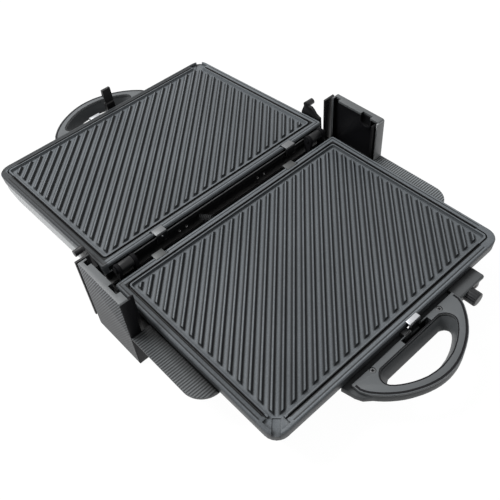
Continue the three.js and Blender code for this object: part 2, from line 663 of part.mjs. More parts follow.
// A bent tubular heater: one loop under the plate with both leads turned down
function heater() {
  const half = PLATE_WIDTH / 2 - HEATER_INSET;
  const far = PLATE_DEPTH - HEATER_INSET;
  const near = HEATER_INSET;
  const z = -PLATE_THICKNESS - SEAT_GAP - HEATER_RADIUS;
  const lead = HEATER_LEAD_GAP / 2;
  const at = (x, y, drop = 0) => new THREE.Vector3(x, y, z - drop);
  const leadBend = 2 * HEATER_RADIUS;
  const path = new THREE.CurvePath();
  const straight = (a, b) => path.add(new THREE.LineCurve3(a, b));
  const bend = (a, corner, b) => path.add(new THREE.QuadraticBezierCurve3(a, corner, b));
  straight(at(-lead, near, HEATER_LEAD_DROP), at(-lead, near, leadBend));
  bend(at(-lead, near, leadBend), at(-lead, near), at(-lead - leadBend, near));
  straight(at(-lead - leadBend, near), at(HEATER_BEND - half, near));
  bend(at(HEATER_BEND - half, near), at(-half, near), at(-half, near + HEATER_BEND));
  straight(at(-half, near + HEATER_BEND), at(-half, far - HEATER_BEND));
  bend(at(-half, far - HEATER_BEND), at(-half, far), at(HEATER_BEND - half, far));
  straight(at(HEATER_BEND - half, far), at(half - HEATER_BEND, far));
  bend(at(half - HEATER_BEND, far), at(half, far), at(half, far - HEATER_BEND));
  straight(at(half, far - HEATER_BEND), at(half, near + HEATER_BEND));
  bend(at(half, near + HEATER_BEND), at(half, near), at(half - HEATER_BEND, near));
  straight(at(half - HEATER_BEND, near), at(lead + leadBend, near));
  bend(at(lead + leadBend, near), at(lead, near), at(lead, near, leadBend));
  straight(at(lead, near, leadBend), at(lead, near, HEATER_LEAD_DROP));
  const section = new THREE.Shape(circle(0, 0, HEATER_RADIUS, HEATER_SIDES)
    .map(([a, b]) => new THREE.Vector2(a, b)));
  return toSolid(new THREE.ExtrudeGeometry(section, {
    steps: HEATER_STEPS, extrudePath: path, bevelEnabled: false,
  }));
}

// The lid's domed cover, open towards the plate
function lidShell() {
  const station = ({ depth, inset, radius }) => ({
    outline: plateOutline(inset, radius, radius * HINGE_CORNER_RADIUS / PLATE_CORNER_RADIUS),
    z: -depth,
  });
  const outer = loft(LID_SHELL_STATIONS.map(station).reverse());
  const inner = loft(LID_SHELL_STATIONS.map(({ depth, inset, radius }) => station({
    depth: depth === SHELL_TOP ? SHELL_TOP - OVERRUN : depth - SHELL_WALL,
    inset: inset + SHELL_WALL,
    radius: radius - SHELL_WALL,
  })).reverse());
  const hornNotches = [-1, 1].map((side) => box(
    side * (PLATE_WIDTH / 2 - SHELL_INSET - SHELL_WALL - OVERRUN), side * (PLATE_WIDTH / 2),
    HORN_FRONT_Y - HORN_NOTCH_SLACK, HORN_REAR_Y + HORN_NOTCH_SLACK,
    HORN_FOOT_Z - HORN_NOTCH_SLACK, -SHELL_TOP + OVERRUN));
  return cut(outer, [inner, ...hornNotches]);
}

// The base's black tub with its tower shelves, rear walls, carriage sockets and vents
function baseShell() {
  const half = PLATE_WIDTH / 2 - TUB_INSET;
  const front = -HALF_GAP - PLATE_DEPTH + TUB_INSET;
  const outline = (draft, wall) => roundedRectangle(
    draft + wall - half, front + draft + wall, half - draft - wall, TUB_REAR_Y - wall,
    TUB_CORNER_RADIUS - wall, TUB_REAR_RADIUS - wall);
  const rise = TUB_FLOOR - TUB_BOTTOM;
  const outer = loft([
    { outline: outline(TUB_DRAFT, 0), z: -TUB_BOTTOM },
    { outline: outline(TUB_SHOULDER_DRAFT, 0), z: -TUB_SHOULDER },
    { outline: outline(0, 0), z: -TUB_LAND },
    { outline: outline(0, 0), z: -SHELL_TOP },
  ]);
  const inner = loft([
    { outline: outline(TUB_DRAFT, TUB_WALL), z: rise },
    { outline: outline(TUB_SHOULDER_DRAFT, TUB_WALL), z: -TUB_SHOULDER },
    { outline: outline(0, TUB_WALL), z: -TUB_LAND },
    { outline: outline(0, TUB_WALL), z: OVERRUN - SHELL_TOP },
  ]);
  const solids = [outer.subtract(inner)];
  const bores = [];
  const rear = REAR_WALL_Y + REAR_WALL_SHEET;
  const shelfX = TOWER_OUTER_X - TOWER_WALL - SEAT_GAP;
  const shelfEnd = TOWER_REAR_Y - TOWER_WALL - SEAT_GAP;
  const legHalf = LEG_WIDTH / 2 + SOCKET_GAP;
  const legY = [BEAM_Y[0] - SOCKET_GAP, BEAM_Y[1] + SOCKET_GAP];
  const socketTop = BEAM_TOP - BEAM_HEIGHT - SEAT_GAP;
  for (const side of [-1, 1]) {
    solids.push(
      box(side * (half - TUB_DRAFT), side * shelfX, TOWER_FRONT_Y + TOWER_WALL + SEAT_GAP, shelfEnd,
        SHELF_TOP - SHELF_SHEET, SHELF_TOP).subtract(outer),
      box(side * (half - TUB_DRAFT), side * shelfX, TOWER_FRONT_Y + TOWER_WALL + SEAT_GAP,
        TOWER_FRONT_Y + TOWER_WALL + SEAT_GAP + SHELF_SHEET, -SHELF_WEB_DEPTH, SHELF_TOP).subtract(outer),
      box(side * REAR_WALL_INNER_X, side * (TOWER_FLANGE_X - SEAT_GAP), shelfEnd - SHELF_SHEET, rear,
        SHELF_TOP - SHELF_SHEET, SHELF_TOP),
      box(side * REAR_WALL_INNER_X, side * TOWER_OUTER_X, REAR_WALL_Y, rear, -REAR_WALL_BOTTOM,
      REAR_WALL_TOP),
      box(side * LEG_X - legHalf - SOCKET_WALL, side * LEG_X + legHalf + SOCKET_WALL, legY[0] - SOCKET_WALL,
        TUB_REAR_Y - TUB_WALL / 2, TUB_FLOOR / 2 - TUB_BOTTOM, socketTop));
    bores.push(box(side * LEG_X - legHalf, side * LEG_X + legHalf, legY[0], legY[1], LEG_BOTTOM - SEAT_GAP,
      socketTop + OVERRUN));
  }
  for (let i = 0; i < VENT_COUNT; i += 1) {
    const x = (i - (VENT_COUNT - 1) / 2) * VENT_PITCH;
    bores.push(box(x - VENT_WIDTH / 2, x + VENT_WIDTH / 2, VENT_Y - VENT_LENGTH / 2,
      VENT_Y + VENT_LENGTH / 2,
      -TUB_BOTTOM - OVERRUN, rise + OVERRUN));
  }
  bores.push(prismAlongY(circle(GLAND_X, GLAND_Z, GLAND_RADIUS + SEAT_GAP), TUB_REAR_Y - TUB_WALL - OVERRUN,
    TUB_REAR_Y + OVERRUN));
  bores.push(box(CONTROL_INNER_X + CONTROL_WALL + OVERRUN, CONTROL_OUTER_X - CONTROL_WALL - OVERRUN,
    front - OVERRUN, front + TUB_SHOULDER_DRAFT + TUB_WALL + OVERRUN, -TUB_SHOULDER, -TUB_LAND - OVERRUN));
  return cut(join(solids), bores);
}

// One grey moulding per side: the tower's outer wall with its flanges, and the long ledge
function sideCover(side) {
  const x = (value) => side * value;
  const inner = TOWER_OUTER_X - TOWER_WALL;
  const blockOutline = [
    [TOWER_FRONT_Y, -RIM_HEIGHT], [TOWER_REAR_Y, -RIM_HEIGHT],
    [TOWER_REAR_Y, TOWER_TOP - TOWER_EDGE_CHAMFER],
    [TOWER_REAR_Y - TOWER_EDGE_CHAMFER, TOWER_TOP], [TOWER_FRONT_Y + TOWER_EDGE_CHAMFER, TOWER_TOP],
    [TOWER_FRONT_Y, TOWER_TOP - TOWER_EDGE_CHAMFER],
  ];
  const block = prismAlongX(blockOutline, x(TOWER_FLANGE_X), x(TOWER_OUTER_X));
  const hollow = box(x(TOWER_FLANGE_X - OVERRUN), x(inner), TOWER_FRONT_Y - OVERRUN,
    TOWER_REAR_Y - TOWER_WALL,
    -RIM_HEIGHT - OVERRUN, TOWER_TOP - TOWER_WALL);
  const rearNotch = box(x(TOWER_FLANGE_X - OVERRUN), x(TOWER_FLANGE_X + NOTCH_DEPTH_X), REAR_NOTCH_FRONT_Y,
    REAR_NOTCH_REAR_Y, TOWER_TOP - TOWER_WALL - OVERRUN, TOWER_TOP + OVERRUN);
  const pinNotch = box(x(TOWER_FLANGE_X - OVERRUN), x(TOWER_FLANGE_X + NOTCH_DEPTH_X), PIN_NOTCH_FRONT_Y,
    PIN_NOTCH_REAR_Y, TOWER_TOP - TOWER_WALL - OVERRUN, TOWER_TOP + OVERRUN);
  const tower = cut(block, [hollow, rearNotch, pinNotch]);
  const arcCentreX = TOWER_OUTER_X - LEDGE_RADIUS;
  const arcCentreY = LEDGE_END_Y + LEDGE_RADIUS;
  const ledge = [[x(LEDGE_INNER_X), TOWER_FRONT_Y + TOWER_WALL], [x(TOWER_OUTER_X),
    TOWER_FRONT_Y + TOWER_WALL]];
  for (let i = 0; i <= 2 * CORNER_STEPS; i += 1) {
    const angle = (i / (2 * CORNER_STEPS)) * (Math.PI / 2);
    ledge.push([x(arcCentreX + LEDGE_RADIUS * Math.cos(angle)),
    arcCentreY - LEDGE_RADIUS * Math.sin(angle)]);
  }
  ledge.push([x(LEDGE_INNER_X), LEDGE_END_Y]);
  const legRoom = box(x(LEDGE_INNER_X - OVERRUN), x(TOWER_FLANGE_X), TOWER_FRONT_Y + SEAT_GAP,
    TOWER_FRONT_Y + TOWER_WALL + OVERRUN, LEDGE_TOP - LEDGE_SHEET - OVERRUN, LEDGE_TOP + OVERRUN);
  const step = box(x(LEDGE_INNER_X - OVERRUN), x(LEDGE_STEP_X), LEDGE_END_Y - OVERRUN,
    TOWER_FRONT_Y + TOWER_WALL,
    LEDGE_TOP - LEDGE_STEP, LEDGE_TOP + OVERRUN);
  const shelf = cut(prism(ledge, LEDGE_TOP - LEDGE_SHEET, LEDGE_TOP), [legRoom, step]);
  return tower.add(shelf);
}

// The black liner inside a tower, with the U-shaped pocket below the pin notch
function towerLiner(side) {
  const x = (value) => side * value;
  const outer = TOWER_OUTER_X - TOWER_WALL - SEAT_GAP;
  const front = TOWER_FRONT_Y + TOWER_WALL + SEAT_GAP;
  const rear = TOWER_REAR_Y - TOWER_WALL - SEAT_GAP;
  const floor = SHELF_TOP + SEAT_GAP;
  const sheet = box(x(outer - LINER_SHEET), x(outer), front, rear, floor, LINER_TOP);
  const foot = box(x(LINER_FLOOR_INNER_X), x(outer), front, TOWER_REAR_Y - 2 * TOWER_WALL - SEAT_GAP, floor,
    floor + LINER_SHEET);
  const frontSheet = box(x(LINER_FLOOR_INNER_X), x(outer), front, front + LINER_SHEET, floor, LINER_TOP);
  const lipFront = PIN_NOTCH_FRONT_Y - POCKET_LIP;
  const lipRear = PIN_NOTCH_REAR_Y + POCKET_LIP;
  const radius = (lipRear - lipFront) / 2;
  const middle = (lipRear + lipFront) / 2;
  const bottom = LINER_TOP - POCKET_DEPTH + radius;
  const arc = (r, sign) => {
    const points = [];
    for (let i = 0; i <= CORNER_STEPS * 2; i += 1) {
      const angle = Math.PI + sign * (i / (CORNER_STEPS * 2)) * Math.PI;
      points.push([middle + r * Math.cos(angle), bottom + r * Math.sin(angle)]);
    }
    return points;
  };
  const lip = [[lipFront, LINER_TOP], ...arc(radius, 1), [lipRear, LINER_TOP],
    [lipRear - POCKET_LIP, LINER_TOP], ...arc(radius - POCKET_LIP, 1).reverse(),
    [lipFront + POCKET_LIP, LINER_TOP]];
  const pocket = prismAlongX(lip, x(POCKET_INNER_X), x(outer - LINER_SHEET / 2));
  return join([sheet, foot, frontSheet, pocket]);
}

// A whole outline from the right-hand half, smoothed and mirrored
function mirroredCurve(half, steps) {
  const curve = new THREE.SplineCurve(half.map(([x, y]) => new THREE.Vector2(x, y)));
  const right = curve.getPoints(steps).map((point) => [point.x, point.y]);
  const left = right.slice(0, -1).reverse().map(([x, y]) => [-x, y]);
  return [...right, ...left].map(([x, y]) => [x, PLATE_DEPTH + y]);
}

// The D of a handle, drawn in from its outer edge
function handleOutline(start, draw) {
  const reach = HANDLE_OUTLINE.at(-1)[1];
  const width = HANDLE_OUTLINE[0][0];
  const half = HANDLE_OUTLINE.map(([x, y]) => [
    x * (1 - draw / width), start + (y - start) * (1 - draw / reach),
  ]);
  const curve = mirroredCurve(half, HANDLE_CURVE_STEPS);
  return [[half[0][0], PLATE_DEPTH + start], ...curve, [-half[0][0], PLATE_DEPTH + start]];
}

// The finger opening; draw is how far its near, side and far walls come in
function openingOutline([near, sides, far]) {
  const width = OPENING_OUTLINE.reduce((most, [x]) => Math.max(most, x), 0);
  const y0 = OPENING_OUTLINE[0][1];
  const y1 = OPENING_OUTLINE.at(-1)[1];
  const share = (y1 - y0 - near - far) / (y1 - y0);
  return mirroredCurve(OPENING_OUTLINE.map(([x, y]) => [
    x * (1 - sides / width), y0 + near + (y - y0) * share,
  ]), OPENING_CURVE_STEPS);
}

// Room for the catch and its travel in the handle
function catchRoom(top) {
  const half = CATCH_WIDTH / 2 + RUNNING_GAP;
  return box(CATCH_CENTRE - half, CATCH_CENTRE + half, PLATE_DEPTH - SHELL_INSET - OVERRUN,
    PLATE_DEPTH + CATCH_STAND + CATCH_TRAVEL + RUNNING_GAP, CLIP_TOP - CATCH_DROP - RUNNING_GAP, top);
}

function handleFace(drop, slotX) {
  const top = -drop;
  const face = prism(handleOutline(HANDLE_FACE_START, 0), top - HANDLE_FACE_SHEET, top,
    [openingOutline([0, 0, 0])]);
  const slot = box(slotX[0], slotX[1], PLATE_DEPTH + SLOT_START, PLATE_DEPTH + SLOT_END,
    top - HANDLE_FACE_SHEET - OVERRUN, top + OVERRUN);
  const bores = [-1, 1].map((side) => prism(
    circle(side * SCREW_X, PLATE_DEPTH + SCREW_Y, SCREW_HEAD_RADIUS + SCREW_SLACK),
    top - HANDLE_FACE_SHEET - OVERRUN, top + OVERRUN));
  return cut(face, [slot, catchRoom(top + OVERRUN), ...bores]);
}

// The handle's lower half: root block against the housing, D grip and funnel-shaped opening
function handleGrip(drop, slotX, isLid) {
  const top = -drop - HANDLE_FACE_SHEET - SEAT_GAP;
  const bottom = -drop - HANDLE_GRIP_HEIGHT;
  const start = SEAT_GAP - SHELL_INSET;
  const body = loft([
    { outline: handleOutline(HANDLE_FACE_START, HANDLE_GRIP_DRAFT), z: bottom },
    { outline: handleOutline(HANDLE_FACE_START, 0), z: top - HANDLE_GRIP_STRAIGHT },
    { outline: handleOutline(HANDLE_FACE_START, 0), z: top },
  ]);
  const narrow = isLid ? HANDLE_ROOT_WIDE : HANDLE_ROOT_NARROW;
  const rootOutline = (draw) => {
    const mergeX = HANDLE_OUTLINE[2][0] * (1 - draw / HANDLE_OUTLINE[0][0]);
    const merge = handleOutline(HANDLE_FACE_START, draw).find(([x]) => x < mergeX);
    const flared = [
      [HANDLE_ROOT_WIDE - draw, PLATE_DEPTH + start],
      [HANDLE_ROOT_WIDE - HANDLE_ROOT_FLARE - draw, PLATE_DEPTH + HANDLE_ROOT_SHOULDER - draw / 2],
      [HANDLE_ROOT_WIDE - HANDLE_ROOT_BEVEL - draw, PLATE_DEPTH + HANDLE_ROOT_REACH - draw],
      merge,
    ];
    const straight = [
      [narrow - draw, PLATE_DEPTH + start],
      [narrow - draw, PLATE_DEPTH + HANDLE_ROOT_SHOULDER - draw / 2],
    ];
    const other = isLid ? flared : straight;
    return [...flared, ...other.reverse().map(([x, y]) => [-x, y])];
  };
  const root = loft([
    { outline: rootOutline(HANDLE_GRIP_DRAFT), z: bottom },
    { outline: rootOutline(0), z: top - HANDLE_GRIP_STRAIGHT },
    { outline: rootOutline(0), z: -drop - HANDLE_ROOT_TOP },
  ]);
  const funnel = loft([
    { outline: openingOutline(OPENING_DRAW), z: bottom - OVERRUN },
    { outline: openingOutline(OPENING_DRAW), z: bottom + OVERRUN },
    { outline: openingOutline(OPENING_TOP_DRAW), z: top },
    { outline: openingOutline(OPENING_TOP_DRAW), z: top + OVERRUN },
  ]);
  const pocket = box(slotX[0] - SEAT_GAP, slotX[1] + SEAT_GAP, PLATE_DEPTH + SLOT_START - SEAT_GAP,
    PLATE_DEPTH + SLOT_POCKET_END, top - SLOT_POCKET_DEPTH + HANDLE_FACE_SHEET, top + OVERRUN);
  const bores = [-1, 1].map((side) => prism(
    circle(side * SCREW_X, PLATE_DEPTH + SCREW_Y, SCREW_SHANK_RADIUS + SCREW_SLACK),
    top - SCREW_SHANK_LENGTH, top + OVERRUN));
  if (isLid) {
    bores.push(
      box(slotX[0] - SEAT_GAP, slotX[1] + SEAT_GAP,
      PLATE_DEPTH + HOOK_PIVOT_REACH - HOOK_BARREL_RADIUS - RUNNING_GAP,
        PLATE_DEPTH + SLOT_POCKET_END, -HOOK_PIVOT_DROP - HOOK_BARREL_RADIUS - RUNNING_GAP, top + OVERRUN),
      rod(PLATE_DEPTH + HOOK_PIVOT_REACH, -HOOK_PIVOT_DROP, HOOK_PIN_RADIUS + SEAT_GAP,
        HOOK_CENTRE_X - HOOK_WIDTH / 2 - HOOK_PIN_OVERHANG - SEAT_GAP,
        HOOK_CENTRE_X + HOOK_WIDTH / 2 + HOOK_PIN_OVERHANG + SEAT_GAP));
  }
  return cut(join([body, root]), [funnel, pocket, catchRoom(top + OVERRUN), ...bores]);
}

function handleScrew(drop, side) {
  const head = -drop - SCREW_SINK;
  const profile = [
    [0, head - SCREW_SHANK_LENGTH], [SCREW_SHANK_RADIUS, head - SCREW_SHANK_LENGTH],
    [SCREW_SHANK_RADIUS, head - SCREW_HEAD_HEIGHT], [SCREW_HEAD_RADIUS, head - SCREW_HEAD_HEIGHT],
    [SCREW_HEAD_RADIUS, head], [0, head],
  ];
  return turned(profile, side * SCREW_X, PLATE_DEPTH + SCREW_Y);
}

// A turned body about a vertical axis; the profile is (radius, z) from the lowest to the highest
function turned(profile, x, y, steps = ROUND_STEPS) {
  const geometry = new THREE.LatheGeometry(profile.map(([r, z]) => new THREE.Vector2(r, z)), steps);
  geometry.rotateX(Math.PI / 2);
  geometry.translate(x, y, 0);
  return toSolid(geometry);
}

// The hook that rises from the lid's handle and dips into the base's slot when the lid is shut
function lockHook() {
  const x0 = HOOK_CENTRE_X - HOOK_WIDTH / 2;
  const x1 = HOOK_CENTRE_X + HOOK_WIDTH / 2;
  const pivotY = PLATE_DEPTH + HOOK_PIVOT_REACH;
  const outline = [
    [HOOK_STEM[0], -HOOK_PIVOT_DROP], [HOOK_STEM[1], -HOOK_PIVOT_DROP], [HOOK_STEM[1], HOOK_STEM_TOP],
    [HOOK_BODY[1], HOOK_STEM_TOP + HOOK_BEVEL], [HOOK_BODY[1], HOOK_BODY_TOP - HOOK_BEVEL],
    [HOOK_NECK[1], HOOK_BODY_TOP], [HOOK_NECK[1], HOOK_NOSE_BOTTOM], [HOOK_NOSE_REACH, HOOK_NOSE_BOTTOM],
    [HOOK_NOSE_REACH, HOOK_NOSE_SHOULDER], [HOOK_NOSE_REACH - HOOK_BEVEL, HOOK_TOP],
    [HOOK_NECK[0], HOOK_TOP],
    [HOOK_NECK[0], HOOK_BODY_TOP], [HOOK_BODY[0], HOOK_BODY_TOP - HOOK_BEVEL], [HOOK_BODY[0], HOOK_STEM_TOP],
    [HOOK_STEM[0], HOOK_STEM_TOP],
  ].map(([y, z]) => [PLATE_DEPTH + y, z]);
  const barrel = rod(pivotY, -HOOK_PIVOT_DROP, HOOK_BARREL_RADIUS, x0, x1);
  const bore = rod(pivotY, -HOOK_PIVOT_DROP, HOOK_PIN_RADIUS + RUNNING_GAP, x0 - OVERRUN, x1 + OVERRUN);
  return join([prismAlongX(outline, x0, x1), barrel]).subtract(bore);
}

// The front box that holds the thermostat; x is negative because the base half is turned round
function controlBox() {
  const wallY = PLATE_DEPTH - TUB_INSET + SEAT_GAP;
  const panel = PLATE_DEPTH + CONTROL_PANEL;
  const end = PLATE_DEPTH + CONTROL_REACH;
  const under = -SHELL_TOP;
  const outline = [
    [wallY, -CONTROL_BOTTOM], [panel - CONTROL_BEVEL, -CONTROL_BOTTOM],
    [panel, CONTROL_BEVEL - CONTROL_BOTTOM],
    [panel, -CONTROL_TOP - CONTROL_LIP - CONTROL_BEVEL], [end, -CONTROL_TOP - CONTROL_LIP],
    [end, -CONTROL_TOP - CONTROL_BEVEL], [end - CONTROL_BEVEL, -CONTROL_TOP],
    [PLATE_DEPTH + SEAT_GAP, -CONTROL_TOP],
    [PLATE_DEPTH + SEAT_GAP, under], [wallY, under],
  ];
  const body = prismAlongX(outline, -CONTROL_OUTER_X, -CONTROL_INNER_X);
  const hollow = box(CONTROL_WALL - CONTROL_OUTER_X, -CONTROL_INNER_X - CONTROL_WALL, wallY - OVERRUN,
    panel - CONTROL_WALL, CONTROL_WALL - CONTROL_BOTTOM, -SHELL_TOP);
  const knobRoom = prismAlongY(circle(-KNOB_X, -KNOB_DROP, KNOB_RADIUS + SEAT_GAP), panel, end + OVERRUN);
  const shaftHole = prismAlongY(circle(-KNOB_X, -KNOB_DROP, SHAFT_RADIUS + RUNNING_GAP),
    panel - 2 * CONTROL_WALL,
    end + OVERRUN);
  const lampHole = prismAlongY(circle(-LAMP_X, -LAMP_DROP, LAMP_RADIUS + SEAT_GAP), panel - 2 * CONTROL_WALL,
    panel + OVERRUN);
  return cut(body, [hollow, knobRoom, shaftHole, lampHole]);
}

// The thermostat's case behind the front wall of the control box
function thermostatCase() {
  const [width, depth, height] = THERMOSTAT_SIZE;
  const front = PLATE_DEPTH + CONTROL_PANEL - CONTROL_WALL - SEAT_GAP;
  const body = box(-KNOB_X - width / 2, -KNOB_X + width / 2, front - depth, front, -KNOB_DROP - height / 2,
    -KNOB_DROP + height / 2);
  const bore = prismAlongY(circle(-KNOB_X, -KNOB_DROP, SHAFT_RADIUS + RUNNING_GAP), front - depth - OVERRUN,
    front + OVERRUN);
  return body.subtract(bore);
}

// A turned body about an axis along Y; the profile is (radius, y) from the lowest to the highest
function turnedAlongY(profile, x, z, steps = ROUND_STEPS) {
  const geometry = new THREE.LatheGeometry(profile.map(([r, y]) => new THREE.Vector2(r, y)), steps);
  geometry.translate(x, 0, z);
  return toSolid(geometry);
}

function thermostatKnob() {
  const start = PLATE_DEPTH + CONTROL_PANEL + KNOB_GAP;
  const end = start + KNOB_LENGTH;
  const flutes = [];
  for (let i = 0; i < 2 * KNOB_FLUTES; i += 1) {
    const angle = (i / KNOB_FLUTES) * Math.PI;
    const radius = KNOB_RADIUS - (i % 2) * KNOB_FLUTE_DEPTH;
    flutes.push([radius * Math.cos(angle) - KNOB_X, radius * Math.sin(angle) - KNOB_DROP]);
  }
  const dome = turnedAlongY([
    [0, start], [KNOB_RADIUS, start], [KNOB_RADIUS, end - KNOB_CHAMFER], [KNOB_RADIUS - KNOB_CHAMFER, end],
    [0, end],
  ], -KNOB_X, -KNOB_DROP, 2 * KNOB_FLUTES);
  const grip = prismAlongY(flutes, start, end).intersect(dome);
  const bar = box(-KNOB_X - KNOB_BAR_WIDTH / 2, -KNOB_X + KNOB_BAR_WIDTH / 2, end - KNOB_CHAMFER,
    end + KNOB_BAR_HEIGHT, -KNOB_DROP - KNOB_RADIUS / 2, -KNOB_DROP + KNOB_RADIUS - 2 * KNOB_CHAMFER);
  const bore = prismAlongY(circle(-KNOB_X, -KNOB_DROP, SHAFT_RADIUS + RUNNING_GAP), start - OVERRUN,
    start + SHAFT_IN_KNOB);
  return grip.add(bar).subtract(bore);
}

function thermostatShaft() {
  const end = PLATE_DEPTH + CONTROL_PANEL + KNOB_GAP + SHAFT_IN_KNOB - SEAT_GAP;
  return prismAlongY(circle(-KNOB_X, -KNOB_DROP, SHAFT_RADIUS), end - SHAFT_LENGTH, end);
}

function pilotLamp() {
  const wall = PLATE_DEPTH + CONTROL_PANEL;
  return turnedAlongY([
    [0, wall - LAMP_LENGTH], [LAMP_RADIUS, wall - LAMP_LENGTH], [LAMP_RADIUS, wall + SEAT_GAP],
    [LAMP_RADIUS + LAMP_FLANGE, wall + SEAT_GAP], [LAMP_RADIUS, wall + LAMP_PROUD],
    [0, wall + LAMP_PROUD + LAMP_FLANGE],
  ], -LAMP_X, -LAMP_DROP);
}

// The sliding beam with two legs and two pairs of ears
function hingeCarriage() {
  const bottom = BEAM_TOP - BEAM_HEIGHT;
  const beam = box(-BEAM_HALF_LENGTH, BEAM_HALF_LENGTH, BEAM_Y[0], BEAM_Y[1], bottom, BEAM_TOP);
  const parts = [beam];
  const bores = [];
  for (const side of [-1, 1]) {
    parts.push(box(side * LEG_X - LEG_WIDTH / 2, side * LEG_X + LEG_WIDTH / 2, BEAM_Y[0], BEAM_Y[1],
      LEG_BOTTOM,
      BEAM_TOP));
    for (const [x0, x1] of [EAR_INNER_X, EAR_OUTER_X]) {
      parts.push(
        rod(HINGE_AXIS_Y, HINGE_AXIS_Z, EAR_RADIUS, side * x0, side * x1),
        prismAlongX([
          [BEAM_Y[0], bottom], [BEAM_Y[1], bottom], [BEAM_Y[1], BEAM_TOP],
          [HINGE_AXIS_Y + EAR_RADIUS, HINGE_AXIS_Z], [HINGE_AXIS_Y - EAR_RADIUS, HINGE_AXIS_Z],
          [BEAM_Y[0], BEAM_TOP],
        ], side * x0, side * x1));
    }
    bores.push(rod(HINGE_AXIS_Y, HINGE_AXIS_Z, HINGE_PIN_RADIUS + RUNNING_GAP,
      side * (EAR_INNER_X[0] - OVERRUN),
      side * (EAR_OUTER_X[1] + OVERRUN)));
  }
  const saddleTop = GUARD_Z - GUARD_RADIUS - GUARD_WIRE_RADIUS - SEAT_GAP;
  parts.push(box(GUARD_X - SADDLE_WIDTH / 2, GUARD_X + SADDLE_WIDTH / 2, GUARD_Y - SADDLE_DEPTH / 2,
    GUARD_Y + SADDLE_DEPTH / 2 - SEAT_GAP, BEAM_TOP - SEAT_GAP, saddleTop));
  return cut(join(parts), bores);
}

function hingePin(side) {
  const [start, end] = HINGE_PIN_X;
  const pin = rod(HINGE_AXIS_Y, HINGE_AXIS_Z, HINGE_PIN_RADIUS, side * start, side * end);
  const head = rod(HINGE_AXIS_Y, HINGE_AXIS_Z, HINGE_PIN_HEAD_RADIUS,
    side * (end - HINGE_PIN_HEAD + SEAT_GAP), side * end);
  return pin.add(head);
}

// A lid arm: knuckle on the hinge pin and a strap under the plate's hinge edge
function hingeArm(side, pivotY, pivotZ) {
  const knuckle = rod(pivotY, pivotZ, KNUCKLE_RADIUS, side * KNUCKLE_X[0], side * KNUCKLE_X[1]);
  const strap = prismAlongX([
    [pivotY, -ARM_DROP - ARM_SHEET], [ARM_REACH, -ARM_DROP - ARM_SHEET], [ARM_REACH, -ARM_DROP],
    [pivotY + KNUCKLE_RADIUS, -ARM_DROP], [pivotY, -ARM_DROP],
  ], side * KNUCKLE_X[0], side * KNUCKLE_X[1]);
  const bore = rod(pivotY, pivotZ, HINGE_PIN_RADIUS + RUNNING_GAP, side * (KNUCKLE_X[0] - OVERRUN),
    side * (KNUCKLE_X[1] + OVERRUN));
  return knuckle.add(strap).subtract(bore);
}

// A horn at the lid's hinge corner: tab in the housing, concave fin and outward guide pin
function lidHorn(side) {
  const tab = box(side * (PLATE_WIDTH / 2 - SKIRT_WALL - SKIRT_DRAFT), side * HORN_X[1], HORN_FRONT_Y,
    HORN_REAR_Y,
    HORN_FOOT_Z, HORN_TAB_TOP);
  const arc = [];
  const drop = THREE.MathUtils.degToRad(HORN_BOSS_DROP_DEGREES);
  for (let i = 0; i <= ROUND_STEPS / 2; i += 1) {
    const angle = Math.PI - (i / (ROUND_STEPS / 2)) * (Math.PI + drop);
    arc.push([HORN_PIN_Y + HORN_BOSS_RADIUS * Math.cos(angle),
    HORN_PIN_Z + HORN_BOSS_RADIUS * Math.sin(angle)]);
  }
  const outline = [
    [HORN_FRONT_Y, HORN_FOOT_Z], ...HORN_CURVE_POINTS, ...arc, [HORN_REAR_Y, 0], [HORN_REAR_Y, HORN_FOOT_Z],
  ].reverse();
  const fin = prismAlongX(outline, side * HORN_X[0], side * HORN_X[1]);
  const pin = rod(HORN_PIN_Y, HORN_PIN_Z, HORN_PIN_RADIUS, side * (HORN_X[0] + SEAT_GAP),
    side * HORN_PIN_END_X);
  return join([tab, fin, pin]);
}

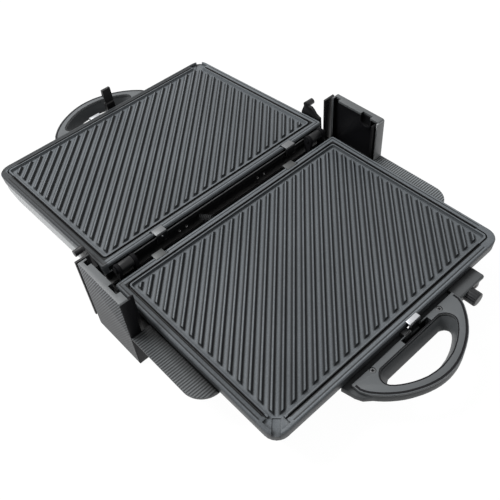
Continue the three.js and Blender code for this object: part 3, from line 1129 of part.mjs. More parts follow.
// A coil of round wire in one unbroken tube, closed at both ends
function wireGuard() {
  const rings = GUARD_CURLS * GUARD_STEPS_PER_CURL;
  const length = GUARD_CURLS * GUARD_PITCH;
  const positions = [];
  const index = [];
  const point = (t) => {
    const angle = t * GUARD_CURLS * 2 * Math.PI;
    return new THREE.Vector3(
      GUARD_RADIUS * Math.cos(angle), (t - 1 / 2) * length, GUARD_RADIUS * Math.sin(angle));
  };
  for (let i = 0; i <= rings; i += 1) {
    const t = i / rings;
    const angle = t * GUARD_CURLS * 2 * Math.PI;
    const centre = point(t);
    const outward = new THREE.Vector3(Math.cos(angle), 0, Math.sin(angle));
    const along = new THREE.Vector3(
      -GUARD_RADIUS * Math.sin(angle), GUARD_PITCH / (2 * Math.PI),
      GUARD_RADIUS * Math.cos(angle)).normalize();
    const across = new THREE.Vector3().crossVectors(along, outward);
    for (let s = 0; s < GUARD_SIDES; s += 1) {
      const turn = (s / GUARD_SIDES) * 2 * Math.PI;
      const place = centre.clone()
        .addScaledVector(outward, GUARD_WIRE_RADIUS * Math.cos(turn))
        .addScaledVector(across, GUARD_WIRE_RADIUS * Math.sin(turn));
      positions.push(place.x, place.y, place.z);
    }
  }
  for (let i = 0; i < rings; i += 1) {
    for (let s = 0; s < GUARD_SIDES; s += 1) {
      const a = i * GUARD_SIDES + s;
      const b = i * GUARD_SIDES + ((s + 1) % GUARD_SIDES);
      index.push(a, b, b + GUARD_SIDES, a, b + GUARD_SIDES, a + GUARD_SIDES);
    }
  }
  const last = rings * GUARD_SIDES;
  for (let s = 1; s + 1 < GUARD_SIDES; s += 1) {
    index.push(0, s + 1, s, last, last + s, last + s + 1);
  }
  const geometry = new THREE.BufferGeometry();
  geometry.setAttribute('position', new THREE.Float32BufferAttribute(positions, 3));
  geometry.setIndex(index);
  geometry.rotateZ(THREE.MathUtils.degToRad(GUARD_TURN_DEGREES));
  geometry.translate(GUARD_X, GUARD_Y, GUARD_Z);
  return geometry;
}

function foot(x, y) {
  return turned([
    [0, -RIM_HEIGHT], [FOOT_RADIUS - FOOT_BEVEL, -RIM_HEIGHT], [FOOT_RADIUS, FOOT_BEVEL - RIM_HEIGHT],
    [FOOT_RADIUS, -TUB_BOTTOM - SEAT_GAP], [0, -TUB_BOTTOM - SEAT_GAP],
  ], x, y);
}

// The gland in the rear wall for the mains lead, open through the middle
function cordGland() {
  const wall = TUB_REAR_Y;
  return turnedAlongY([
    [GLAND_BORE_RADIUS, wall - GLAND_INSIDE], [GLAND_RADIUS, wall - GLAND_INSIDE],
    [GLAND_RADIUS, wall + SEAT_GAP],
    [GLAND_FLANGE_RADIUS, wall + SEAT_GAP], [GLAND_RADIUS, wall + GLAND_FLANGE],
    [GLAND_BORE_RADIUS, wall + GLAND_FLANGE],
    [GLAND_BORE_RADIUS, wall - GLAND_INSIDE],
  ], GLAND_X, GLAND_Z);
}

// What both halves share: plate, clips, catch, frame, reflector, heater and handle
function addHalf(group, prefix, drop, slotX, isLid) {
  addPiece(group, `${prefix}_plate`, cookingPlate(), FINISH.coating);
  CLIP_CENTRES.forEach((centre, i) => {
    addPiece(group, `${prefix}_plate_clip_${i + 1}`, plateClip(centre), FINISH.dullSteel);
  });
  addPiece(group, `${prefix}_plate_catch`, plateCatch(CATCH_DROP), FINISH.brightSteel);
  addPiece(group, `${prefix}_frame`, frameRing(isLid), FINISH.blackPlastic);
  addPiece(group, `${prefix}_reflector`, reflectorTray(), FINISH.dullSteel);
  addPiece(group, `${prefix}_heater`, heater(), FINISH.dullSteel);
  addPiece(group, `${prefix}_handle_face`, handleFace(drop, slotX), FINISH.greyPlastic);
  addPiece(group, `${prefix}_handle_grip`, handleGrip(drop, slotX, isLid), FINISH.greyPlastic);
  [-1, 1].forEach((side, i) => {
    addPiece(group, `${prefix}_handle_screw_${i + 1}`, handleScrew(drop, side), FINISH.brightSteel);
  });
}

const grill = new THREE.Group();
const stand = new THREE.Group();
stand.position.set(0, 0, RIM_HEIGHT);
grill.add(stand);

// Base half, turned round so that its far edge faces the front
const baseHalf = new THREE.Group();
baseHalf.position.set(0, -HALF_GAP, 0);
baseHalf.rotation.z = Math.PI;
stand.add(baseHalf);
addHalf(baseHalf, 'base', HANDLE_FACE_DROP_BASE, BASE_SLOT_X, false);
addPiece(baseHalf, 'control_box', controlBox(), FINISH.greyPlastic);
addPiece(baseHalf, 'thermostat_case', thermostatCase(), FINISH.dullSteel);
addPiece(baseHalf, 'thermostat_knob', thermostatKnob(), FINISH.blackPlastic);
addPiece(baseHalf, 'thermostat_shaft', thermostatShaft(), FINISH.brightSteel);
addPiece(baseHalf, 'pilot_lamp', pilotLamp(), FINISH.lamp);

// Base housing, towers, feet and the floating hinge
addPiece(stand, 'base_shell', baseShell(), FINISH.blackPlastic);
for (const [side, name] of [[-1, 'left'], [1, 'right']]) {
  addPiece(stand, `side_cover_${name}`, sideCover(side), FINISH.greyPlastic);
  addPiece(stand, `tower_liner_${name}`, towerLiner(side), FINISH.blackPlastic);
  addPiece(stand, `hinge_pin_${name}`, hingePin(side), FINISH.brightSteel);
  FOOT_Y.forEach((y, i) => {
    addPiece(stand, `foot_${name}_${i + 1}`, foot(side * FOOT_X, y), FINISH.rubber);
  });
}
addPiece(stand, 'cord_gland', cordGland(), FINISH.rubber);
addPiece(stand, 'hinge_carriage', hingeCarriage(), FINISH.blackPlastic);
addPiece(stand, 'wire_guard', toSolid(wireGuard()), FINISH.brightSteel);

// Lid half: shut it lies upside down over the base, then it swings open about the hinge axis
const lidSwing = new THREE.Group();
lidSwing.position.set(0, HINGE_AXIS_Y, HINGE_AXIS_Z);
lidSwing.rotation.x = -THREE.MathUtils.degToRad(LID_OPEN_DEGREES);
stand.add(lidSwing);
const lidHalf = new THREE.Group();
lidHalf.position.set(0, -HALF_GAP - HINGE_AXIS_Y, CLOSED_GAP - HINGE_AXIS_Z);
lidHalf.rotation.x = Math.PI;
lidSwing.add(lidHalf);
addHalf(lidHalf, 'lid', HANDLE_FACE_DROP_LID, LID_SLOT_X, true);
addPiece(lidHalf, 'lid_shell', lidShell(), FINISH.silver);
const pivotInLidY = -HALF_GAP - HINGE_AXIS_Y;
const pivotInLidZ = CLOSED_GAP - HINGE_AXIS_Z;
for (const [side, name] of [[-1, 'left'], [1, 'right']]) {
  addPiece(lidHalf, `hinge_arm_${name}`, hingeArm(side, pivotInLidY, pivotInLidZ), FINISH.blackPlastic);
  addPiece(lidHalf, `lid_horn_${name}`, lidHorn(side), FINISH.blackPlastic);
}
addPiece(lidHalf, 'lock_hook', lockHook(), FINISH.blackPlastic);
addPiece(lidHalf, 'lock_hook_pin', rod(PLATE_DEPTH + HOOK_PIVOT_REACH, -HOOK_PIVOT_DROP, HOOK_PIN_RADIUS,
  HOOK_CENTRE_X - HOOK_WIDTH / 2 - HOOK_PIN_OVERHANG, HOOK_CENTRE_X + HOOK_WIDTH / 2 + HOOK_PIN_OVERHANG),
FINISH.brightSteel);

// Centres the open grill over the origin
grill.updateMatrixWorld(true);
const bounds = new THREE.Box3().setFromObject(stand, true);
stand.position.y = -(bounds.min.y + bounds.max.y) / 2;

export default grill;
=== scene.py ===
"""The looks of the contact grill: rounded edges, photographed detail, materials, light and camera."""

import json
import math

import bmesh
import bpy
from mathutils import Matrix, Vector

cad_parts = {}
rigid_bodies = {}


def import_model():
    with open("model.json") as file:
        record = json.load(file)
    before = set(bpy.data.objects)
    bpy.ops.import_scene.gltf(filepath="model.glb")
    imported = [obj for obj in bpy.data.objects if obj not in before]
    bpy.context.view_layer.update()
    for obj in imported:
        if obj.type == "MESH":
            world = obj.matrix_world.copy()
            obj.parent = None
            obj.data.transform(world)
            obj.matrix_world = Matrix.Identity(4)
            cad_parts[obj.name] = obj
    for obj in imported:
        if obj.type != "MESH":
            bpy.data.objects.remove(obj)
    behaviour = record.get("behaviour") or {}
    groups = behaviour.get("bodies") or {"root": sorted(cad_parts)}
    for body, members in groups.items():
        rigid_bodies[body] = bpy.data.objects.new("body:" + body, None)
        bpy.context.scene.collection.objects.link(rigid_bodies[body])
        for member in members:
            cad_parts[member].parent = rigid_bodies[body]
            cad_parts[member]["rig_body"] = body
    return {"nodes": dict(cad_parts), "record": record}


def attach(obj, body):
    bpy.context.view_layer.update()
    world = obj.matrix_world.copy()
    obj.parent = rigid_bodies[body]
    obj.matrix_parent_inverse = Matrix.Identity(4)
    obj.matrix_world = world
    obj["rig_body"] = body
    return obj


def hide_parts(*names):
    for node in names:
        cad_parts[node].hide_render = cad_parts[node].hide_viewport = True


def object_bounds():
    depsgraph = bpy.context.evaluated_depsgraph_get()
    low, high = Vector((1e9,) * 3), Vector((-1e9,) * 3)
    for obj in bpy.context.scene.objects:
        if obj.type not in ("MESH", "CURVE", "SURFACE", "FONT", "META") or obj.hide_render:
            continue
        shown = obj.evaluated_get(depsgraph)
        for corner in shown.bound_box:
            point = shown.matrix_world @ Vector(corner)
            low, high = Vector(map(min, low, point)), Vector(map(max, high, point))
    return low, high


MM = 0.001

# The photograph's view
CAMERA_PLACE = Vector((-313.15, -428.42, 573.56)) * MM
CAMERA_AZIMUTH = -38.18
CAMERA_ELEVATION = 48.70
CAMERA_ROLL = -5.7
CAMERA_LENS = 48.14
CAMERA_SENSOR = 36
CAMERA_NEAR = 0.01
CAMERA_FAR = 50

# Light
WORLD_FILL = 0.75
WORLD_FILL_FROM = 0.1
FLOOR_BOUNCE = 0.25
KEY_PLACE = Vector((-1.0, 1.0, 1.9))
KEY_SIZE = 0.8
KEY_WATTS = 40
SIDE_PLACE = Vector((-0.2, 1.3, 1.9))
SIDE_SIZE = 1.4
SIDE_WATTS = 16
LIGHT_TARGET = Vector((0, 0, 0.05))
FLOOR_SIZE = 14
FLOOR_CELLS = 8
FLOOR_GAP = 0.02 * MM
FLOOR_WHITE = 1.02
FLOOR_SHADOW_SHARE = 0.05
FLOOR_SHADOW_WHITE = 0.9

# The grill plates: their length from the hinge, the ribs and their painted light and shade from crest to
# middle of valley
PLATE_DEPTH = 233 * MM
RIB_PITCH = 9.56 * MM
RIB_FIELD_INSET = 15.5 * MM
RIB_LIGHT_AND_SHADE = ((0, 1), (0.1, 0.92), (0.2, 0.2), (0.46, 0.12), (0.6, 0.36), (0.8, 0.8), (1, 0.9))
RIB_LIGHT_GAIN = 1.4
COATING_COLOUR = (0.093, 0.102, 0.11)
COATING_SPREAD = 0.08
COATING_GRAIN = 1500
COATING_ROUGHNESS = (0.36, 0.48)
COATING_SPECULAR = 0.22
COATING_CREVICE_SHADE = (3, 0.9)
COATING_DEPTH = 0.06 * MM
SPECK_SCALE = 900
SPECK_GAIN = (0.86, 1.14)
SPECK_BAND = (0.35, 0.65)
LEVEL_BAND = (0.2, 0.6)
# Painted light and shade on the plates' borders: one side and one end shaded, dark lines for the shade in the
# groove and near the edge, a highlight line, and lighter and darker skirts
SHADED_SIDE_WIDTH = 9 * MM
SHADED_SIDE_TONES = {"base_plate": 0.72, "lid_plate": 0.3}
SHADED_END_TONES = {"base_plate": 1, "lid_plate": 0.3}
BORDER_WIDTH = 12 * MM
BORDER_LIGHT_AND_SHADE = (
    (0, 0.6), (0.14, 0.72), (0.17, 1), (0.23, 1), (0.26, 0.15), (0.34, 0.15),
    (0.38, 0.75), (0.59, 0.75), (0.62, 0.03), (0.88, 0.03), (0.91, 0.75), (1, 0.75),
)
SPOUT_TONE = 0.75
SKIRT_LIGHT_AND_SHADE = {"base_plate": 0.55, "lid_plate": 1.3}
BORDER_SHADING_GAIN = 1.6
# Painted shadow at the ribs' ends
RIB_END_SHADOW_DEPTH = 1.5 * MM
RIB_END_SHADOW_TONES = ((0, 0.1), (0.4, 0.1), (0.55, 1), (1, 1))
SPOUT_ROOM = 24 * MM
SHADED_SIDE_FADE = 0.75
RIB_FIELD_FADE = 1.08
RIB_END_SHADOW_FADE = 0.8
SPOUT_FADE = 1.02
GROOVE_BAND = (7.9 * MM, 10.1 * MM)
GROOVE_FLOOR = 0.45 * MM
GROOVE_SLACK = 0.35 * MM

# The towers and ledges
TOWER_FRONT_WIDTH = 12 * MM
TOWER_FRONT_SHEET = 2 * MM
TOWER_FRONT_PROUD = 0.15 * MM
TOWER_FRONT_MARGIN = (0.3 * MM, 1.2 * MM)
TOWER_FRONT_EDGE = 0.4 * MM
TOWER_FACE_DEPTH = 2 * MM
TOWER_TOP_BAND = 30 * MM
WALL_BAND = 1 * MM
STROKE_PITCH = 2.98 * MM
STROKE_SLANT = 0.765
STROKE_DEPTH = 0.9
STROKE_RAGGED = 0.03
RAGGED_NOISE = (160, 3, (1, 1, 0.5))
STROKE_HEIGHTS = (0.02, 0.08)
STROKE_GAINS = (0.15, 1)
WALL_SHADE_HEIGHTS = (0.03, 0.09)
WALL_SHADE_GAINS = (0.5, 1.25)
LEDGE_PITCH = 2.94 * MM
LEDGE_DEPTH = 0.8
LEDGE_SHADE = (158 * MM, 170 * MM)
LEDGE_SHADE_GAIN = 0.25
# Painted light: the far ledge made lighter
FAR_LEDGE_LIGHT_GAIN = 2.1
FAR_LEDGE_LIGHT_REACH = 0.1

# Dark fillings beside the hinge
HINGE_SHADE_X = (151 * MM, 164 * MM)
HINGE_SHADE_LOW = (-8 * MM, 36 * MM)
HINGE_SHADE_HIGH = (7 * MM, 41 * MM)
HINGE_SHADE_EDGE = 0.3 * MM

# The lid housing's black side toward the hinge, and its small rivets
SHELL_BACK_BAND = 12 * MM
RIVET_RADIUS = 1.2 * MM
RIVET_DEPTHS = (-0.6 * MM, -0.3 * MM, 0.4 * MM)
RIVET_SIDES = 12
RIVETS_X = (-62.7 * MM, -53 * MM, 53 * MM, 62.7 * MM)
RIVETS_Z = 48.5 * MM
CLIP_RIVET_DOWN = 5 * MM

# The wire coil at the hinge
COIL_TURNS = 7
COIL_WIRE = 0.28 * MM
COIL_SIDES = 8
COIL_STEPS = 14
AXIS_ROUNDS = 12
STEEP = 0.99

# The knob
KNOB_FLUTES = 24
KNOB_FLUTE_DEPTH = 0.35 * MM
KNOB_ROUNDING = 1.6 * MM
KNOB_ROUND_STEPS = (30, 60, 90)
KNOB_FACE_SHARE = 0.55
KNOB_FACE_DIP = 0.1 * MM
KNOB_BACK_CHAMFER = 0.6 * MM

# The crosses in the handle screws
CROSS_SIZE = (3.2 * MM, 1.1 * MM)
CROSS_TURNS = (45, 135)
CROWN_DEPTH = 0.05 * MM

# The handles
LID_HANDLE_RISE = 4.1 * MM
LIP_GROOVE = 2 * MM
OPENING_GROOVE = 0.8 * MM
LINE_WIDTH = {"lip": 2.2 * MM, "opening": 1.3 * MM}
LINE_LIFT = 0.04 * MM
LINE_STEP = 1.5 * MM
LINE_KEEP = 0.97
LIP_END_SHARE = 1.2
SLOT_DEPTH = 12 * MM
SLOT_HALF_WIDTH = 30 * MM

# The catches, the clips and other small parts
CATCH_TOP = 4.5 * MM
CLIP_TOP = 2.5 * MM
SLIDER_LOW = (0.5 * MM, -247.5 * MM, 40.3 * MM)
SLIDER_HIGH = (9.5 * MM, -241.2 * MM, 49 * MM)
# A near-black strip between the base plate's skirt and the control box: painted shade there
SHADOW_LINE_LOW = (72.6 * MM, -241.3 * MM, 43 * MM)
SHADOW_LINE_HIGH = (111.8 * MM, -239.4 * MM, 46.9 * MM)
# The lid frame's bead is a thin strip in the lighter lit grey: a painted highlight along the frame's edge
BEAD_LOW = (-146 * MM, 8.3 * MM, 60.6 * MM)
BEAD_HIGH = (146 * MM, 9 * MM, 61.4 * MM)
CATCH_ROOM = (0.6 * MM, 2.4 * MM)
CATCH_ROOM_EDGE = 0.1 * MM
SLIDER_EDGE = 0.5 * MM
BEAD_EDGE = 0.1 * MM
SHADOW_LINE_EDGE = 0.2 * MM
SMALL_BLOCKS = (
    ("base_catch_slider", SLIDER_LOW, SLIDER_HIGH, SLIDER_EDGE, "black_plastic", "slider",
     "base_plate_catch"),
    ("lid_frame_bead", BEAD_LOW, BEAD_HIGH, BEAD_EDGE, "grey_plastic", "lit_flange", "lid_frame"),
    ("control_box_shadow_line", SHADOW_LINE_LOW, SHADOW_LINE_HIGH, SHADOW_LINE_EDGE, "black_plastic", "groove", "control_box"),
)
TWO_TONED = (
    ("base_plate_catch", "catch", CATCH_TOP), ("lid_plate_catch", "catch", CATCH_TOP),
    ("base_plate_clip_1", "dull_clip", CLIP_TOP), ("base_plate_clip_2", "dull_clip", CLIP_TOP),
    ("lid_plate_clip_1", "clip", CLIP_TOP), ("lid_plate_clip_2", "clip", CLIP_TOP),
)
OWN_FINISHES = {
    "control_box": "box", "base_handle_face": "face", "lid_handle_face": "face",
    "base_handle_grip": "grip", "lid_handle_grip": "grip", "hinge_carriage": "hinge",
    "hinge_pin_left": "hinge", "hinge_pin_right": "hinge",
    "tower_liner_left": "liner", "tower_liner_right": "liner",
}

# Rounding of edges, in millimetres: the first word that is in a piece's name gives its width
EDGE_ANGLE = 28
KNOB_EDGE_ANGLE = 40
WIRE_EDGE_ANGLE = 60
FLAT_ANGLE = 0.4
MERGE = 0.002 * MM
EDGE_STEPS = 2
EDGE_WIDTHS = (
    ("_plate_catch", 0.6), ("_plate_clip", 0.4), ("_plate", 0.35), ("handle_face", 0.5), ("handle_grip", 0.7),
    ("_frame", 0.4), ("_shell", 0.6), ("cover", 0.5), ("screw", 0.25), ("pin", 0.25),
)
SMALL_EDGE_WIDTH = 0.3
FACING = 0.9
FACING_FLAT = 0.98
FACING_BACK = 0.5

# Pieces that are shown as they are, made anew, or carved to leave room for the lid plate's catch
KEPT = ("base_heater", "lid_heater")
REMADE = ("thermostat_knob", "wire_guard")
CARVED = ("lid_handle_face", "lid_handle_grip")

# Grain that all finishes share
BROAD_SCALE = 14
WALL_SCALE = 20
FINE_STRENGTH = 0.35
ROUGH_SPREAD = 0.06
PLAIN_SPREAD = 0.06
PLAIN_SPECULAR = 0.5
CREVICE_SHADE_BAND = (0.25, 0.95)
CREVICE_SAMPLES = 8

# Finishes of the slots, and the other finishes
# Painted shade in the finishes below: their colour is darkened in corners and grooves by ambient occlusion
SLOT_FINISHES = {
    "grey_plastic": dict(colour=(0.098, 0.104, 0.108), roughness=0.42, grain=2200, depth=0.03,
                         crevice_shade=(6, 0.7)),
    "black_plastic": dict(colour=(0.008, 0.008, 0.009), roughness=0.4, grain=2200, depth=0.03, specular=0.3,
                          crevice_shade=(20, 0.9)),
    "silver_housing": dict(colour=(0.47, 0.49, 0.5), roughness=0.35, grain=2600, metallic=0.35, depth=0.01),
    "bright_steel": dict(colour=(0.8, 0.8, 0.81), roughness=0.24, grain=900, metallic=1, depth=0.01,
                         stretch=(1, 0.06, 1)),
    "dull_steel": dict(colour=(0.4, 0.41, 0.42), roughness=0.42, grain=900, metallic=0.9, depth=0.015,
                       stretch=(0.06, 1, 1)),
    "dark_steel": dict(colour=(0.008, 0.008, 0.009), roughness=0.55, grain=900, specular=0.25, depth=0.015,
                       stretch=(0.06, 1, 1)),
    "rubber": dict(colour=(0.02, 0.02, 0.02), roughness=0.8, grain=1800, depth=0.05),
    "lamp_lens": dict(colour=(0.02, 0.003, 0.003), roughness=0.35, grain=900, depth=0.004),
}
OTHER_FINISHES = {
    # Painted shade: near-black for the plates' groove floors, the handles' groove lines, the screws' crosses
    # and the line at the control box
    "groove": dict(colour=(0.004, 0.004, 0.005), roughness=0.6, grain=900, depth=0.01, specular=0.2),
    # Painted light: a lighter grey for the lit right tower front and the lid frame bead's highlight line
    "lit_flange": dict(colour=(0.3, 0.31, 0.315), roughness=0.4, grain=2200, depth=0.03),
    "clip": dict(colour=(0.17, 0.175, 0.18), roughness=0.42, grain=900, metallic=0.6, depth=0.01),
    "dull_clip": dict(colour=(0.08, 0.083, 0.083), roughness=0.42, grain=900, metallic=0.4, depth=0.01),
    "catch": dict(colour=(0.5, 0.51, 0.53), roughness=0.35, grain=900, metallic=0.9, depth=0.02,
                  stretch=(1, 0.06, 1), spread=0.15),
    "screw": dict(colour=(0.13, 0.133, 0.137), roughness=0.35, grain=900, metallic=0.6, depth=0.01),
    "knob": dict(colour=(0.012, 0.0125, 0.014), roughness=0.35, grain=2200, depth=0.03, specular=0.3),
    "coil": dict(colour=(0.06, 0.062, 0.064), roughness=0.6, grain=900, depth=0.01, specular=0.1),
    "slider": dict(colour=(0.03, 0.031, 0.032), roughness=0.45, grain=2200, depth=0.03),
    "liner": dict(colour=(0.004, 0.004, 0.005), roughness=0.5, grain=2200, depth=0.03, specular=0.15,
                  crevice_shade=(20, 0.9)),
    "hinge": dict(colour=(0.006, 0.006, 0.007), roughness=0.7, grain=900, depth=0.015, specular=0.08),
    "box": dict(colour=(0.078, 0.082, 0.085), roughness=0.42, grain=2200, depth=0.03, crevice_shade=(24, 0.85),
                specular=0.3),
    # The face's long shading reach paints the shadow that the plate casts near the handle's root
    "face": dict(colour=(0.11, 0.117, 0.122), roughness=0.42, grain=2200, depth=0.03, crevice_shade=(26, 0.8),
                 specular=0.25),
    # Painted shade: the handles' grey plastic made darker for the grips, whose walls lie in shade
    "grip": dict(colour=(0.06, 0.064, 0.067), roughness=0.42, grain=2200, depth=0.03, crevice_shade=(8, 0.75),
                 specular=0.25),
}
STROKES_FINISH = dict(colour=(0.082, 0.087, 0.094), spread=0.1, roughness=0.46, specular=0.2,
                      crevice_shade=(6, 0.6), strength=0.5, relief=0.12 * MM)
RIDGES_FINISH = dict(colour=(0.062, 0.067, 0.07), spread=0.08, roughness=0.45, specular=0.3,
                     crevice_shade=(34, 1), strength=0.6, relief=0.3 * MM)

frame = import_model()
nodes = frame["nodes"]
cad_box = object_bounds()
scene = bpy.context.scene


def link(name, mesh):
    """A new object in the scene that holds this mesh."""
    piece = bpy.data.objects.new(name, mesh)
    scene.collection.objects.link(piece)
    return piece


def apply_modifiers(piece):
    """Keeps what the modifiers made and removes them."""
    bpy.context.view_layer.update()
    graph = bpy.context.evaluated_depsgraph_get()
    mesh = bpy.data.meshes.new_from_object(piece.evaluated_get(graph))
    piece.modifiers.clear()
    piece.data = mesh


def smooth(mesh, angle=EDGE_ANGLE):
    """Shades a mesh smooth, with its creases kept sharp."""
    mesh.shade_smooth()
    mesh.set_sharp_from_angle(angle=math.radians(angle))


def from_shape(name, shape):
    """A new object in the scene that holds this shape."""
    mesh = bpy.data.meshes.new(name)
    shape.to_mesh(mesh)
    shape.free()
    return link(name, mesh)


def facing_up(mesh):
    """The direction that the mesh's upper faces look in."""
    upper = (face.normal * face.area for face in mesh.polygons if face.normal.z > FACING)
    return sum(upper, Vector()).normalized()


# Materials
class Nodes:
    """A short way to build one procedural material."""

    def __init__(self, name):
        self.material = bpy.data.materials.new(name)
        self.material.use_nodes = True
        self.tree = self.material.node_tree
        self.shader = self.tree.nodes["Principled BSDF"]
        self.place = self.tree.nodes.new("ShaderNodeTexCoord").outputs["Object"]

    def add(self, kind, inputs=(), **settings):
        node = self.tree.nodes.new(kind)
        for key, value in settings.items():
            setattr(node, key, value)
        for key, value in dict(inputs).items():
            if isinstance(value, bpy.types.NodeSocket):
                self.tree.links.new(value, node.inputs[key])
            else:
                node.inputs[key].default_value = value
        return node

    def noise(self, scale, detail=2, stretch=None):
        place = self.place
        if stretch:
            place = self.add("ShaderNodeMapping", {"Vector": place, "Scale": stretch}).outputs["Vector"]
        inputs = {"Vector": place, "Scale": scale, "Detail": detail}
        return self.add("ShaderNodeTexNoise", inputs).outputs["Fac"]

    def ramp(self, fac, low, high, start=0.3, end=0.7):
        inputs = {"Value": fac, "From Min": start, "From Max": end, "To Min": low, "To Max": high}
        return self.add("ShaderNodeMapRange", inputs).outputs["Result"]

    def shade(self, colour, fac, amount):
        """The colour made darker and lighter by a factor's amount."""
        return self.scaled(colour, self.ramp(fac, 1 - amount, 1 + amount))

    def set(self, key, value):
        if isinstance(value, bpy.types.NodeSocket):
            self.tree.links.new(value, self.shader.inputs[key])
        else:
            self.shader.inputs[key].default_value = value

    def math(self, operation, *values):
        return self.add("ShaderNodeMath", dict(enumerate(values)), operation=operation).outputs["Value"]

    def axes(self):
        return self.add("ShaderNodeSeparateXYZ", {0: self.place}).outputs

    def steps(self, fac, stops):
        """A value that goes from stop to stop; each stop is (factor, value)."""
        node = self.add("ShaderNodeValToRGB", {"Fac": fac})
        marks = node.color_ramp.elements
        while len(marks) < len(stops):
            marks.new(0.5)
        for mark, (place, value) in zip(marks, stops):
            mark.position = place
            mark.color = (value, value, value, 1)
        return node.outputs["Color"]

    def scaled(self, colour, gain):
        node = self.add("ShaderNodeVectorMath", {0: colour, "Scale": gain}, operation="SCALE")
        return node.outputs["Vector"]

    def crevice_shade(self, colour, reach, depth):
        """Painted shade: the colour made darker where the surface lies in corners and grooves."""
        node = self.add("ShaderNodeAmbientOcclusion", {"Distance": reach * MM}, samples=CREVICE_SAMPLES)
        return self.scaled(colour, self.ramp(node.outputs["AO"], 1 - depth, 1, *CREVICE_SHADE_BAND))

    def bump(self, height, strength, distance):
        node = self.add("ShaderNodeBump", {"Height": height, "Strength": strength, "Distance": distance})
        self.tree.links.new(node.outputs["Normal"], self.shader.inputs["Normal"])


def plain_material(name, colour, roughness, grain, depth, metallic=0.0, spread=PLAIN_SPREAD, stretch=None,
                   specular=PLAIN_SPECULAR, crevice_shade=None):
    """A moulded, cast or pressed surface: uneven tone, uneven gloss and a fine grain."""
    made = Nodes(name)
    fine = made.noise(grain, 3, stretch)
    broad = made.noise(BROAD_SCALE, 3)
    tone = made.shade(colour, broad, spread)
    if crevice_shade:
        tone = made.crevice_shade(tone, *crevice_shade)
    made.set("Base Color", tone)
    made.set("Roughness", made.ramp(fine, roughness - ROUGH_SPREAD, roughness + ROUGH_SPREAD))
    made.set("Metallic", metallic)
    made.set("Specular IOR Level", specular)
    made.bump(fine, FINE_STRENGTH, depth * MM)
    return made.material


def corners(node):
    """The lowest and highest corner of a CAD node."""
    points = [nodes[node].matrix_world @ vertex.co for vertex in nodes[node].data.vertices]
    return [Vector(function(point[i] for point in points) for i in range(3)) for function in (min, max)]


